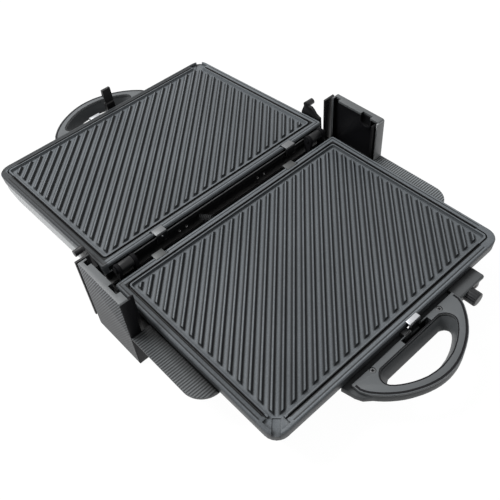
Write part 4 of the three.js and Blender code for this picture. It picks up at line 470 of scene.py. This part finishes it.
def shaded_coating(name, node, edge_side):
    """The grill plate's speckled non-stick coat with painted light and shade: painted highlights on the
    crests and in the valleys, painted shade on the flanks.
    """
    low, high = corners(node)
    edge_y = (low.y, high.y)[edge_side]
    tilt = (high.y - low.y) / PLATE_DEPTH
    made = Nodes(name)
    fine = made.noise(COATING_GRAIN, 3)
    broad = made.noise(BROAD_SCALE, 3)
    x, y, _ = made.axes()

    def blend(start, end, share):
        """From start to end by a share."""
        return made.math("ADD", start, made.math("MULTIPLY", made.math("SUBTRACT", end, start), share))

    # Painted light and shade across the ribs: painted highlights on the crests and in the valleys' middles,
    # painted shade on the flanks
    along = made.math("DIVIDE", made.math("SUBTRACT", y, edge_y), tilt)
    across = made.math("DIVIDE", made.math("SUBTRACT", x, along), math.sqrt(2) * RIB_PITCH)
    from_rib = made.math("MULTIPLY", made.math("PINGPONG", across, 0.5), 2)
    rib_light_and_shade = made.math("MULTIPLY", made.steps(from_rib, RIB_LIGHT_AND_SHADE), RIB_LIGHT_GAIN)

    # The room to the nearest side and end of the plate
    side_room = made.math("SUBTRACT", (high.x - low.x) / 2, made.math("ABSOLUTE", x))
    from_middle = made.math("SUBTRACT", y, (high.y + low.y) / 2)
    end_room = made.math("SUBTRACT", (high.y - low.y) / 2, made.math("ABSOLUTE", from_middle))
    room = made.math("MINIMUM", side_room, end_room)
    inside = made.ramp(room, 0, 1, RIB_FIELD_INSET, RIB_FIELD_INSET * RIB_FIELD_FADE)

    # The border: painted shade at one side and one end; across it, painted shade in the groove and in a line
    # near the edge, beside a painted highlight line; plain at the spout; painted light on the lid plate's
    # skirt and painted shade on the base plate's
    fade = (SHADED_SIDE_WIDTH * SHADED_SIDE_FADE, SHADED_SIDE_WIDTH)
    side = made.ramp(made.math("SUBTRACT", x, low.x), SHADED_SIDE_TONES[node], 1, *fade)
    to_end = made.math("SUBTRACT", y, low.y) if edge_side else made.math("SUBTRACT", high.y, y)
    end = made.ramp(to_end, SHADED_END_TONES[node], 1, *fade)
    border_shading = made.steps(made.math("DIVIDE", room, BORDER_WIDTH), BORDER_LIGHT_AND_SHADE)
    at_spout = made.ramp(made.math("MAXIMUM", side_room, to_end), 1, 0, SPOUT_ROOM, SPOUT_ROOM * SPOUT_FADE)
    border_shading = made.math("MULTIPLY", blend(border_shading, SPOUT_TONE, at_spout), BORDER_SHADING_GAIN)
    facing = made.add("ShaderNodeTexCoord").outputs["Normal"]
    upright = made.add("ShaderNodeSeparateXYZ", {0: facing}).outputs[2]
    outside = made.math("MULTIPLY", made.math("MULTIPLY", side, end), border_shading)
    level = made.ramp(made.math("ABSOLUTE", upright), 0, 1, *LEVEL_BAND)
    outside = blend(SKIRT_LIGHT_AND_SHADE[node], outside, level)

    # Painted shadow at the ribs' ends, where the valleys' end walls lie in shade
    end_shadow_limit = RIB_FIELD_INSET + RIB_END_SHADOW_DEPTH
    near_end = made.ramp(room, 1, 0, RIB_FIELD_INSET + RIB_END_SHADOW_DEPTH * RIB_END_SHADOW_FADE, end_shadow_limit)
    end_shadow = made.math("SUBTRACT", made.steps(from_rib, RIB_END_SHADOW_TONES), 1)
    rib_light_and_shade = made.math("MULTIPLY", rib_light_and_shade, made.math("ADD", 1, made.math("MULTIPLY", end_shadow, near_end)))

    tone = made.scaled(made.shade(COATING_COLOUR, broad, COATING_SPREAD), blend(outside, rib_light_and_shade, inside))
    speck = made.ramp(made.noise(SPECK_SCALE, 2), *SPECK_GAIN, *SPECK_BAND)
    made.set("Base Color", made.crevice_shade(made.scaled(tone, speck), *COATING_CREVICE_SHADE))
    made.set("Roughness", made.ramp(fine, *COATING_ROUGHNESS))
    made.set("Specular IOR Level", COATING_SPECULAR)
    made.bump(fine, FINE_STRENGTH, COATING_DEPTH)
    return made.material


def patterned(wave, bands, colour, spread, roughness, specular, crevice_shade, strength, relief):
    """Moulded plastic with fine marks in it; the wave and the bands of painted light and shade make its tone,
    and its corners get painted shade.
    """
    made, mark, depth = wave
    tone = made.shade(colour, made.noise(WALL_SCALE, 3), spread)
    tone = made.scaled(tone, made.ramp(mark, 1 - depth, 1 + depth, -1, 1))
    for band in bands:
        tone = made.scaled(tone, made.ramp(*band))
    made.set("Base Color", made.crevice_shade(tone, *crevice_shade))
    made.set("Roughness", roughness)
    made.set("Specular IOR Level", specular)
    made.bump(mark, strength, relief)
    return made.material


def stroked(name):
    """Fine slanting strokes in a tower's side wall, fainter toward its foot; the wall's colour is painted
    darker toward its foot as shade.
    """
    made = Nodes(name)
    _, y, z = made.axes()
    course = made.math("DIVIDE", made.math("ADD", y, made.math("MULTIPLY", z, STROKE_SLANT)), STROKE_PITCH)
    wave = made.math("SINE", made.math("MULTIPLY", course, math.tau))
    ragged = made.math("MULTIPLY", made.noise(*RAGGED_NOISE), STROKE_RAGGED)
    strong = made.ramp(made.math("ADD", z, ragged), *STROKE_GAINS, *STROKE_HEIGHTS)
    mark = made.math("MULTIPLY", wave, strong)
    bands = [(z, *WALL_SHADE_GAINS, *WALL_SHADE_HEIGHTS)]
    return patterned((made, mark, STROKE_DEPTH), bands, **STROKES_FINISH)


def ridged(name):
    """Low ridges across a ledge, with painted shade toward the body and painted light on the far ledge."""
    made = Nodes(name)
    x, y, _ = made.axes()
    wave = made.math("SINE", made.math("MULTIPLY", made.math("DIVIDE", y, LEDGE_PITCH), math.tau))
    bands = [(made.math("ABSOLUTE", x), LEDGE_SHADE_GAIN, 1, *LEDGE_SHADE),
             (x, 1, FAR_LEDGE_LIGHT_GAIN, -FAR_LEDGE_LIGHT_REACH, FAR_LEDGE_LIGHT_REACH)]
    return patterned((made, wave, LEDGE_DEPTH), bands, **RIDGES_FINISH)


MATERIALS = {name: plain_material(name, **row) for name, row in SLOT_FINISHES.items()}
OWN = {name: plain_material(name, **row) for name, row in OTHER_FINISHES.items()}
OWN["strokes"] = stroked("strokes")
OWN["ridges"] = ridged("ridges")
OWN_MATERIALS = {
    "base_plate": shaded_coating("base_shaded_coating", "base_plate", 1),
    "lid_plate": shaded_coating("lid_shaded_coating", "lid_plate", 0),
}


def dress(piece, slot, material=None):
    """Gives a piece its finish."""
    piece.data.materials.clear()
    piece.data.materials.append(material or MATERIALS[slot])


def body_of(node):
    return nodes[node]["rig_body"]


def stand_for(piece, slot, *stood_for):
    """The piece takes its finish, rides with the nodes it stands for and hides them."""
    dress(piece, slot, OWN_MATERIALS.get(stood_for[0]))
    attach(piece, body_of(stood_for[0]))
    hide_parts(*stood_for)


def block(name, low, high, width):
    """A box between two corners, with rounded edges."""
    shape = bmesh.new()
    bmesh.ops.create_cube(shape, size=1)
    size = [high[i] - low[i] for i in range(3)]
    centre = [(high[i] + low[i]) / 2 for i in range(3)]
    placed = Matrix.Translation(centre) @ Matrix.Diagonal((*size, 1))
    bmesh.ops.transform(shape, matrix=placed, verts=shape.verts)
    piece = from_shape(name, shape)
    bevel = piece.modifiers.new("edges", "BEVEL")
    bevel.width = width
    bevel.segments = EDGE_STEPS
    apply_modifiers(piece)
    smooth(piece.data)
    return piece


def rounded(node, slot, width, room=None):
    """A copy of a CAD node with its edges rounded, less the room that another piece needs."""
    mesh = nodes[node].data.copy()
    shape = bmesh.new()
    shape.from_mesh(mesh)
    bmesh.ops.remove_doubles(shape, verts=shape.verts, dist=MERGE)
    flat = math.radians(FLAT_ANGLE)
    bmesh.ops.dissolve_limit(shape, angle_limit=flat, verts=shape.verts, edges=shape.edges)
    shape.to_mesh(mesh)
    shape.free()
    piece = link(node + "_body", mesh)
    if room:
        cut = piece.modifiers.new("room", "BOOLEAN")
        cut.operation = "DIFFERENCE"
        cut.solver = "EXACT"
        cut.object = room
    bevel = piece.modifiers.new("edges", "BEVEL")
    bevel.width = width * MM
    bevel.segments = EDGE_STEPS
    bevel.limit_method = "ANGLE"
    bevel.angle_limit = math.radians(EDGE_ANGLE)
    bevel.use_clamp_overlap = True
    apply_modifiers(piece)
    smooth(piece.data)
    stand_for(piece, slot, node)
    return piece


SLOTS = {row["node"]: row["material_slot"] for row in frame["record"]["subparts"]}


def paint(piece, material, wanted):
    """Another finish for the faces that the test picks by their centre and normal."""
    piece.data.materials.append(material)
    for polygon in piece.data.polygons:
        if wanted(polygon.center, polygon.normal):
            polygon.material_index = len(piece.data.materials) - 1


def width_for(node):
    """How wide a piece's edges are rounded."""
    return next((width for word, width in EDGE_WIDTHS if word in node), SMALL_EDGE_WIDTH)


pieces = {}
low, high = corners("lid_plate_catch")
beside_catch = Vector((CATCH_ROOM[0], CATCH_ROOM[1], CATCH_ROOM[1]))
below_catch = Vector((0, 0, LID_HANDLE_RISE))
catch_room = block("catch_room", low - beside_catch - below_catch, high + beside_catch, CATCH_ROOM_EDGE)
for node in nodes:
    if node in KEPT:
        nodes[node].data.materials.clear()
        nodes[node].data.materials.append(MATERIALS[SLOTS[node]])
    elif node not in REMADE:
        room = catch_room if node in CARVED else None
        pieces[node] = rounded(node, SLOTS[node], width_for(node), room)
bpy.data.objects.remove(catch_room)


# The plates' grooves, their floors painted near-black as shade
for node in ("base_plate", "lid_plate"):
    plate = pieces[node]
    up = facing_up(plate.data)
    rim = max(vertex.co.dot(up) for vertex in plate.data.vertices)
    low, high = corners(node)
    middle = (low + high) / 2

    def in_groove(centre, normal):
        """True on the floor of the channel round the ribbed field, which is painted near-black as shade."""
        room = min((high.x - low.x) / 2 - abs(centre.x), (high.y - low.y) / 2 - abs(centre.y - middle.y))
        far = low.y if node == "base_plate" else high.y
        at_spout = abs(centre.x) > high.x - SPOUT_ROOM and abs(centre.y - far) < SPOUT_ROOM
        deep = centre.dot(up) < rim - GROOVE_FLOOR - GROOVE_SLACK
        return GROOVE_BAND[0] < room < GROOVE_BAND[1] and deep and not at_spout

    paint(plate, OWN["groove"], in_groove)


# The towers' fronts, their stroked walls and the ridged ledges
for side, word in ((-1, "left"), (1, "right")):
    node = "side_cover_" + word
    cover = pieces[node]
    low, high = corners(node)
    outer = high.x if side > 0 else low.x
    inner = outer - side * TOWER_FRONT_WIDTH
    tower_front = min(v.co.y for v in cover.data.vertices if v.co.z > high.z - TOWER_TOP_BAND)
    near_x, far_x = sorted((outer, inner))
    front = block("tower_front_" + word,
                  (near_x, tower_front - TOWER_FRONT_PROUD, low.z + TOWER_FRONT_MARGIN[0]),
                  (far_x, tower_front + TOWER_FRONT_SHEET, high.z - TOWER_FRONT_MARGIN[1]), TOWER_FRONT_EDGE)
    # Painted light and shade: the towers are alike, but the right front sheet gets a lighter lit grey and the
    # left one black
    if side > 0:
        dress(front, "grey_plastic", OWN["lit_flange"])
    else:
        dress(front, "black_plastic", OWN["liner"])
    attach(front, body_of(node))

    def on_wall(centre, normal):
        return abs(normal.x) > FACING and abs(centre.x) > abs(outer) - WALL_BAND

    def on_ledge(centre, normal):
        return normal.z > FACING and centre.y < tower_front

    def on_front(centre, normal):
        return normal.y < -FACING and centre.y > tower_front - TOWER_FACE_DEPTH

    paint(cover, OWN["strokes"], on_wall)
    paint(cover, OWN["ridges"], on_ledge)
    paint(cover, MATERIALS["black_plastic"], on_front)

    near_x, far_x = sorted(side * x for x in HINGE_SHADE_X)
    shade = block("hinge_shade_" + word, (near_x, *HINGE_SHADE_LOW), (far_x, *HINGE_SHADE_HIGH),
                  HINGE_SHADE_EDGE)
    dress(shade, "black_plastic")
    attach(shade, body_of(node))

# The lid's housing is black toward the hinge
shell_edge = corners("lid_shell")[0].y
paint(pieces["lid_shell"], MATERIALS["black_plastic"],
      lambda centre, normal: normal.y < -FACING_BACK and centre.y < shell_edge + SHELL_BACK_BAND)


# The handles: the lid's one is raised above its CAD place, and each face has near-black ribbons along its
# moulded grooves as painted shade
def loops(mesh, up):
    """The closed edges of the faces that look up, the longest first."""
    shape = bmesh.new()
    shape.from_mesh(mesh)
    bmesh.ops.remove_doubles(shape, verts=shape.verts, dist=MERGE)
    top = {face for face in shape.faces if face.normal.dot(up) > FACING_FLAT}
    edges = {edge for edge in shape.edges if sum(face in top for face in edge.link_faces) == 1}
    found = []
    while edges:
        edge = edges.pop()
        start, point = edge.verts
        loop = [start.co.copy(), point.co.copy()]
        while point is not start:
            following = next((e for e in point.link_edges if e in edges), None)
            if following is None:
                break
            edges.remove(following)
            point = following.other_vert(point)
            loop.append(point.co.copy())
        if point is start:
            found.append(loop[:-1])
    shape.free()
    return sorted(found, key=lambda loop: -sum((a - b).length for a, b in zip(loop, loop[1:])))


def resampled(loop, step):
    """Points at even steps along a closed loop."""
    points = []
    for a, b in zip(loop, loop[1:] + loop[:1]):
        count = max(1, round((b - a).length / step))
        points += [a.lerp(b, i / count) for i in range(count)]
    return points


def beside(loop, up, distance):
    """The loop moved sideways; points that come too near to it are left out."""
    moved = []
    for i, point in enumerate(loop):
        ahead = (loop[(i + 1) % len(loop)] - loop[i - 1]).normalized()
        moved.append(point + up.cross(ahead) * distance)
    limit = abs(distance) * LINE_KEEP
    return [p for p in moved if min((p - q).length for q in loop) > limit]


def longest_run(loop, wanted):
    """The longest row of neighbouring points that pass the test."""
    start = next(i for i in range(len(loop)) if not wanted(loop[i]))
    runs = [[]]
    for point in loop[start:] + loop[:start]:
        if wanted(point):
            runs[-1].append(point)
        elif runs[-1]:
            runs.append([])
    return max(runs, key=len)


def shade_line_on(name, node, path, up, width, closed):
    """A thin near-black ribbon along a path: painted shade in moulded grooves and recesses."""
    shape = bmesh.new()
    rows = []
    count = len(path)
    for i, point in enumerate(path):
        before = path[i - 1] if closed or i else path[i]
        after = path[(i + 1) % count] if closed or i < count - 1 else path[i]
        across = up.cross((after - before).normalized()) * width / 2
        sides = (point + across + up * LINE_LIFT, point - across + up * LINE_LIFT)
        rows.append([shape.verts.new(spot) for spot in sides])
    for i in range(count if closed else count - 1):
        a, b = rows[i], rows[(i + 1) % count]
        shape.faces.new((a[0], a[1], b[1], b[0]))
    bmesh.ops.recalc_face_normals(shape, faces=shape.faces)
    piece = from_shape(name, shape)
    dress(piece, "black_plastic", OWN["groove"])
    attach(piece, body_of(node))


for word, outward in (("base", -1), ("lid", 1)):
    node = word + "_handle_face"
    face = nodes[node].data
    up = facing_up(face)
    rise = Vector((0, 0, LID_HANDLE_RISE if word == "lid" else 0))
    if word == "lid":
        for moved in (node, "lid_handle_grip", "lid_handle_screw_1", "lid_handle_screw_2"):
            pieces[moved].data.transform(Matrix.Translation(rise))
    outer_loop, opening = [resampled(loop, LINE_STEP) for loop in loops(face, up)[:2]]
    near = -outward * max(-outward * point.y for point in outer_loop)
    for name, loop, distance in (("lip", outer_loop, LIP_GROOVE), ("opening", opening, -OPENING_GROOVE)):
        turn = sum((a.cross(b) for a, b in zip(loop, loop[1:] + loop[:1])), Vector()).dot(up)
        path = beside(loop, up, distance if turn > 0 else -distance)
        if name == "lip":
            path = longest_run(path, lambda point: abs(point.y - near) > LIP_GROOVE * LIP_END_SHARE)
        path = [point + rise for point in path]
        shade_line_on("%s_handle_%s_line" % (word, name), node, path, up, LINE_WIDTH[name], name != "lip")


# Two-toned catches and clips, and the finishes of other pieces
def parted(mesh, level):
    """Cuts the faces at a level, so that the parts above and below it can differ in finish."""
    shape = bmesh.new()
    shape.from_mesh(mesh)
    bmesh.ops.bisect_plane(shape, geom=shape.verts[:] + shape.edges[:] + shape.faces[:],
                           plane_co=(0, 0, level), plane_no=(0, 0, 1))
    shape.to_mesh(mesh)
    shape.free()


for node, finish, depth in TWO_TONED:
    foot = corners(node)[1].z - depth
    pieces[node].data.materials[0] = OWN[finish]
    parted(pieces[node].data, foot)
    paint(pieces[node], MATERIALS["black_plastic"], lambda centre, normal: centre.z < foot)
for node, finish in OWN_FINISHES.items():
    pieces[node].data.materials[0] = OWN[finish]
for name, low, high, edge, slot, finish, carrier in SMALL_BLOCKS:
    small = block(name, low, high, edge)
    dress(small, slot, OWN[finish])
    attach(small, body_of(carrier))

# The handles' slots are black inside
for node in ("base_handle_grip", "lid_handle_grip"):
    low, high = corners(node)
    near = high.y if node == "base_handle_grip" else low.y

    def in_slot(centre, normal):
        return abs(centre.y - near) < SLOT_DEPTH and abs(centre.x) < SLOT_HALF_WIDTH and normal.z < FACING

    paint(pieces[node], MATERIALS["black_plastic"], in_slot)


# Turned, wound and small pieces
def skinned(name, shape, rings, angle):
    """The object that joins rings of points one to the next, closed at both ends."""
    count = len(rings[0])
    for a, b in zip(rings, rings[1:]):
        for i in range(count):
            j = (i + 1) % count
            shape.faces.new((a[i], a[j], b[j], b[i]))
    shape.faces.new(rings[0])
    shape.faces.new(rings[-1])
    bmesh.ops.recalc_face_normals(shape, faces=shape.faces)
    piece = from_shape(name, shape)
    smooth(piece.data, angle)
    return piece


def turned(name, profile, sides, flute=0):
    """A body turned about the Y axis from (radius, y) points, with flutes in its widest part."""
    shape = bmesh.new()
    widest = max(radius for radius, _ in profile)
    rings = []
    for radius, y in profile:
        ring = []
        for i in range(sides):
            angle = math.tau * i / sides
            reach = radius - flute * (i % 2) * (radius / widest) ** 4
            ring.append(shape.verts.new((reach * math.cos(angle), y, reach * math.sin(angle))))
        rings.append(ring)
    return skinned(name, shape, rings, KNOB_EDGE_ANGLE)


def tube(name, path, radius, sides):
    """A round wire along a path."""
    shape = bmesh.new()
    angles = [math.tau * k / sides for k in range(sides)]
    rings = []
    for i, point in enumerate(path):
        ahead = (path[min(i + 1, len(path) - 1)] - path[max(i - 1, 0)]).normalized()
        across = ahead.cross(Vector((0, 0, 1))).normalized() if abs(ahead.z) < STEEP else Vector((1, 0, 0))
        rise = across.cross(ahead)
        spokes = [across * math.cos(angle) + rise * math.sin(angle) for angle in angles]
        rings.append([shape.verts.new(point + radius * spoke) for spoke in spokes])
    return skinned(name, shape, rings, WIRE_EDGE_ANGLE)


low, high = corners("thermostat_knob")
radius = (high.x - low.x) / 2
profile = [(radius * KNOB_FACE_SHARE, low.y), (radius - KNOB_ROUNDING, low.y + KNOB_FACE_DIP)]
profile += [(radius - KNOB_ROUNDING * (1 - math.sin(a)), low.y + KNOB_ROUNDING * (1 - math.cos(a)))
            for a in map(math.radians, KNOB_ROUND_STEPS)]
profile += [(radius, high.y - KNOB_BACK_CHAMFER), (radius - KNOB_BACK_CHAMFER, high.y)]
knob = turned("knob_body", profile, KNOB_FLUTES * 2, KNOB_FLUTE_DEPTH)
knob.data.transform(Matrix.Translation(((low.x + high.x) / 2, 0, (low.z + high.z) / 2)))
stand_for(knob, "black_plastic", "thermostat_knob")
knob.data.materials[0] = OWN["knob"]

points = [nodes["wire_guard"].matrix_world @ v.co for v in nodes["wire_guard"].data.vertices]
middle = sum(points, Vector()) / len(points)
axis = Vector((1, 0, 0))
for _ in range(AXIS_ROUNDS):
    axis = sum(((p - middle) * (p - middle).dot(axis) for p in points), Vector()).normalized()
reach = [(p - middle).dot(axis) for p in points]
away = max(((p - middle) - axis * (p - middle).dot(axis)).length for p in points)
sideways = axis.cross(Vector((0, 0, 1))).normalized()
upward = sideways.cross(axis)
coil_path = []
for i in range(COIL_TURNS * COIL_STEPS + 1):
    share = i / (COIL_TURNS * COIL_STEPS)
    angle = math.tau * share * COIL_TURNS
    spot = min(reach) + COIL_WIRE + (max(reach) - min(reach) - 2 * COIL_WIRE) * share
    turn = sideways * math.cos(angle) + upward * math.sin(angle)
    coil_path.append(middle + axis * spot + (away - COIL_WIRE) * turn)
coil = tube("wire_guard_coil", coil_path, COIL_WIRE, COIL_SIDES)
stand_for(coil, "dull_steel", "wire_guard")
coil.data.materials[0] = OWN["coil"]

clip_low, clip_high = corners("lid_plate_clip_2")
rivet_places = [(x, shell_edge, RIVETS_Z) for x in RIVETS_X]
rivet_places.append(((clip_low.x + clip_high.x) / 2, clip_low.y, clip_high.z - CLIP_RIVET_DOWN))
rivet_profile = list(zip((RIVET_RADIUS / 2, RIVET_RADIUS, RIVET_RADIUS), RIVET_DEPTHS))
for i, spot in enumerate(rivet_places):
    rivet = turned("lid_rivet_%d" % (i + 1), rivet_profile, RIVET_SIDES)
    rivet.data.transform(Matrix.Translation(spot))
    dress(rivet, "bright_steel")
    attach(rivet, body_of("lid_shell"))

for word in ("base", "lid"):
    up = facing_up(nodes[word + "_handle_face"].data)
    for number in ("1", "2"):
        node = "%s_handle_screw_%s" % (word, number)
        mesh = pieces[node].data
        mesh.materials[0] = OWN["screw"]
        level = max(v.co.dot(up) for v in mesh.vertices)
        crown = [v.co for v in mesh.vertices if v.co.dot(up) > level - CROWN_DEPTH]
        centre = sum(crown, Vector()) / len(crown)
        # The two ribbons of each cross are near-black: painted shade in the screw head's cross recess
        for turn in CROSS_TURNS:
            angle = math.radians(turn)
            along = Vector((math.cos(angle), math.sin(angle), 0)) * CROSS_SIZE[0] / 2
            ends = [centre - along, centre + along]
            shade_line_on("%s_slot_%d" % (node, turn), node, ends, up, CROSS_SIZE[1], False)


# Camera
def aim(azimuth, elevation, roll):
    """The turn of a camera that looks along this azimuth, down by this elevation."""
    a = math.radians(azimuth)
    e = math.radians(elevation)
    forward = Vector((-math.sin(a) * math.cos(e), math.cos(a) * math.cos(e), -math.sin(e)))
    turn = forward.to_track_quat("-Z", "Y").to_matrix().to_4x4()
    return turn @ Matrix.Rotation(math.radians(roll), 4, "Z")


camera = bpy.data.objects.new("camera", bpy.data.cameras.new("camera"))
scene.collection.objects.link(camera)
camera.matrix_world = Matrix.Translation(CAMERA_PLACE) @ aim(CAMERA_AZIMUTH, CAMERA_ELEVATION, CAMERA_ROLL)
camera.data.sensor_width = CAMERA_SENSOR
camera.data.lens = CAMERA_LENS
camera.data.clip_start = CAMERA_NEAR
camera.data.clip_end = CAMERA_FAR
scene.camera = camera


# Light, floor and background
def soft_light(name, place, size, watts):
    """A round lamp that looks at the grill."""
    lamp = bpy.data.objects.new(name, bpy.data.lights.new(name, "AREA"))
    scene.collection.objects.link(lamp)
    lamp.data.shape = "DISK"
    lamp.data.size = size
    lamp.data.energy = watts
    lamp.location = place
    lamp.rotation_mode = "QUATERNION"
    lamp.rotation_quaternion = (LIGHT_TARGET - place).to_track_quat("-Z", "Y")


soft_light("key", KEY_PLACE, KEY_SIZE, KEY_WATTS)
soft_light("side", SIDE_PLACE, SIDE_SIZE, SIDE_WATTS)


def seen_rays(tree):
    """1 for camera, glossy and transmission rays, 0 for the others."""
    path = tree.nodes.new("ShaderNodeLightPath")
    total = path.outputs["Is Camera Ray"]
    for name in ("Is Glossy Ray", "Is Transmission Ray"):
        add = tree.nodes.new("ShaderNodeMath")
        add.operation = "MAXIMUM"
        tree.links.new(total, add.inputs[0])
        tree.links.new(path.outputs[name], add.inputs[1])
        total = add.outputs[0]
    return total


world = bpy.data.worlds.new("studio")
scene.world = world
world.use_nodes = True
sky = world.node_tree
fill = sky.nodes["Background"]
fill.inputs["Color"].default_value = (1, 1, 1, 1)
place = sky.nodes.new("ShaderNodeTexCoord")
split = sky.nodes.new("ShaderNodeSeparateXYZ")
overhead = sky.nodes.new("ShaderNodeMapRange")
overhead.interpolation_type = "SMOOTHSTEP"
overhead.inputs["From Min"].default_value = WORLD_FILL_FROM
overhead.inputs["From Max"].default_value = 1
overhead.inputs["To Max"].default_value = WORLD_FILL
sky.links.new(place.outputs["Generated"], split.inputs[0])
sky.links.new(split.outputs["Z"], overhead.inputs["Value"])
sky.links.new(overhead.outputs["Result"], fill.inputs["Strength"])
white = sky.nodes.new("ShaderNodeBackground")
white.inputs["Color"].default_value = (1, 1, 1, 1)
mix = sky.nodes.new("ShaderNodeMixShader")
sky.links.new(seen_rays(sky), mix.inputs["Fac"])
sky.links.new(fill.outputs["Background"], mix.inputs[1])
sky.links.new(white.outputs["Background"], mix.inputs[2])
sky.links.new(mix.outputs["Shader"], sky.nodes["World Output"].inputs["Surface"])

shape = bmesh.new()
bmesh.ops.create_grid(shape, x_segments=FLOOR_CELLS, y_segments=FLOOR_CELLS, size=FLOOR_SIZE / 2)
floor = from_shape("floor", shape)
floor.location.z = cad_box[0].z - FLOOR_GAP
paper = bpy.data.materials.new("paper")
paper.use_nodes = True
tree = paper.node_tree
tree.nodes.remove(tree.nodes["Principled BSDF"])
plain = tree.nodes.new("ShaderNodeBsdfDiffuse")
plain.inputs["Color"].default_value = (FLOOR_BOUNCE,) * 3 + (1,)
shadowed = tree.nodes.new("ShaderNodeBsdfDiffuse")
shadowed.inputs["Color"].default_value = (FLOOR_SHADOW_SHARE,) * 3 + (1,)
glow = tree.nodes.new("ShaderNodeEmission")
glow.inputs["Strength"].default_value = FLOOR_WHITE - FLOOR_SHADOW_SHARE * FLOOR_SHADOW_WHITE
lit = tree.nodes.new("ShaderNodeAddShader")
tree.links.new(shadowed.outputs["BSDF"], lit.inputs[0])
tree.links.new(glow.outputs["Emission"], lit.inputs[1])
choice = tree.nodes.new("ShaderNodeMixShader")
tree.links.new(seen_rays(tree), choice.inputs["Fac"])
tree.links.new(plain.outputs["BSDF"], choice.inputs[1])
tree.links.new(lit.outputs["Shader"], choice.inputs[2])
tree.links.new(choice.outputs["Shader"], tree.nodes["Material Output"].inputs["Surface"])
floor.data.materials.append(paper)

scene.view_settings.view_transform = "Standard"
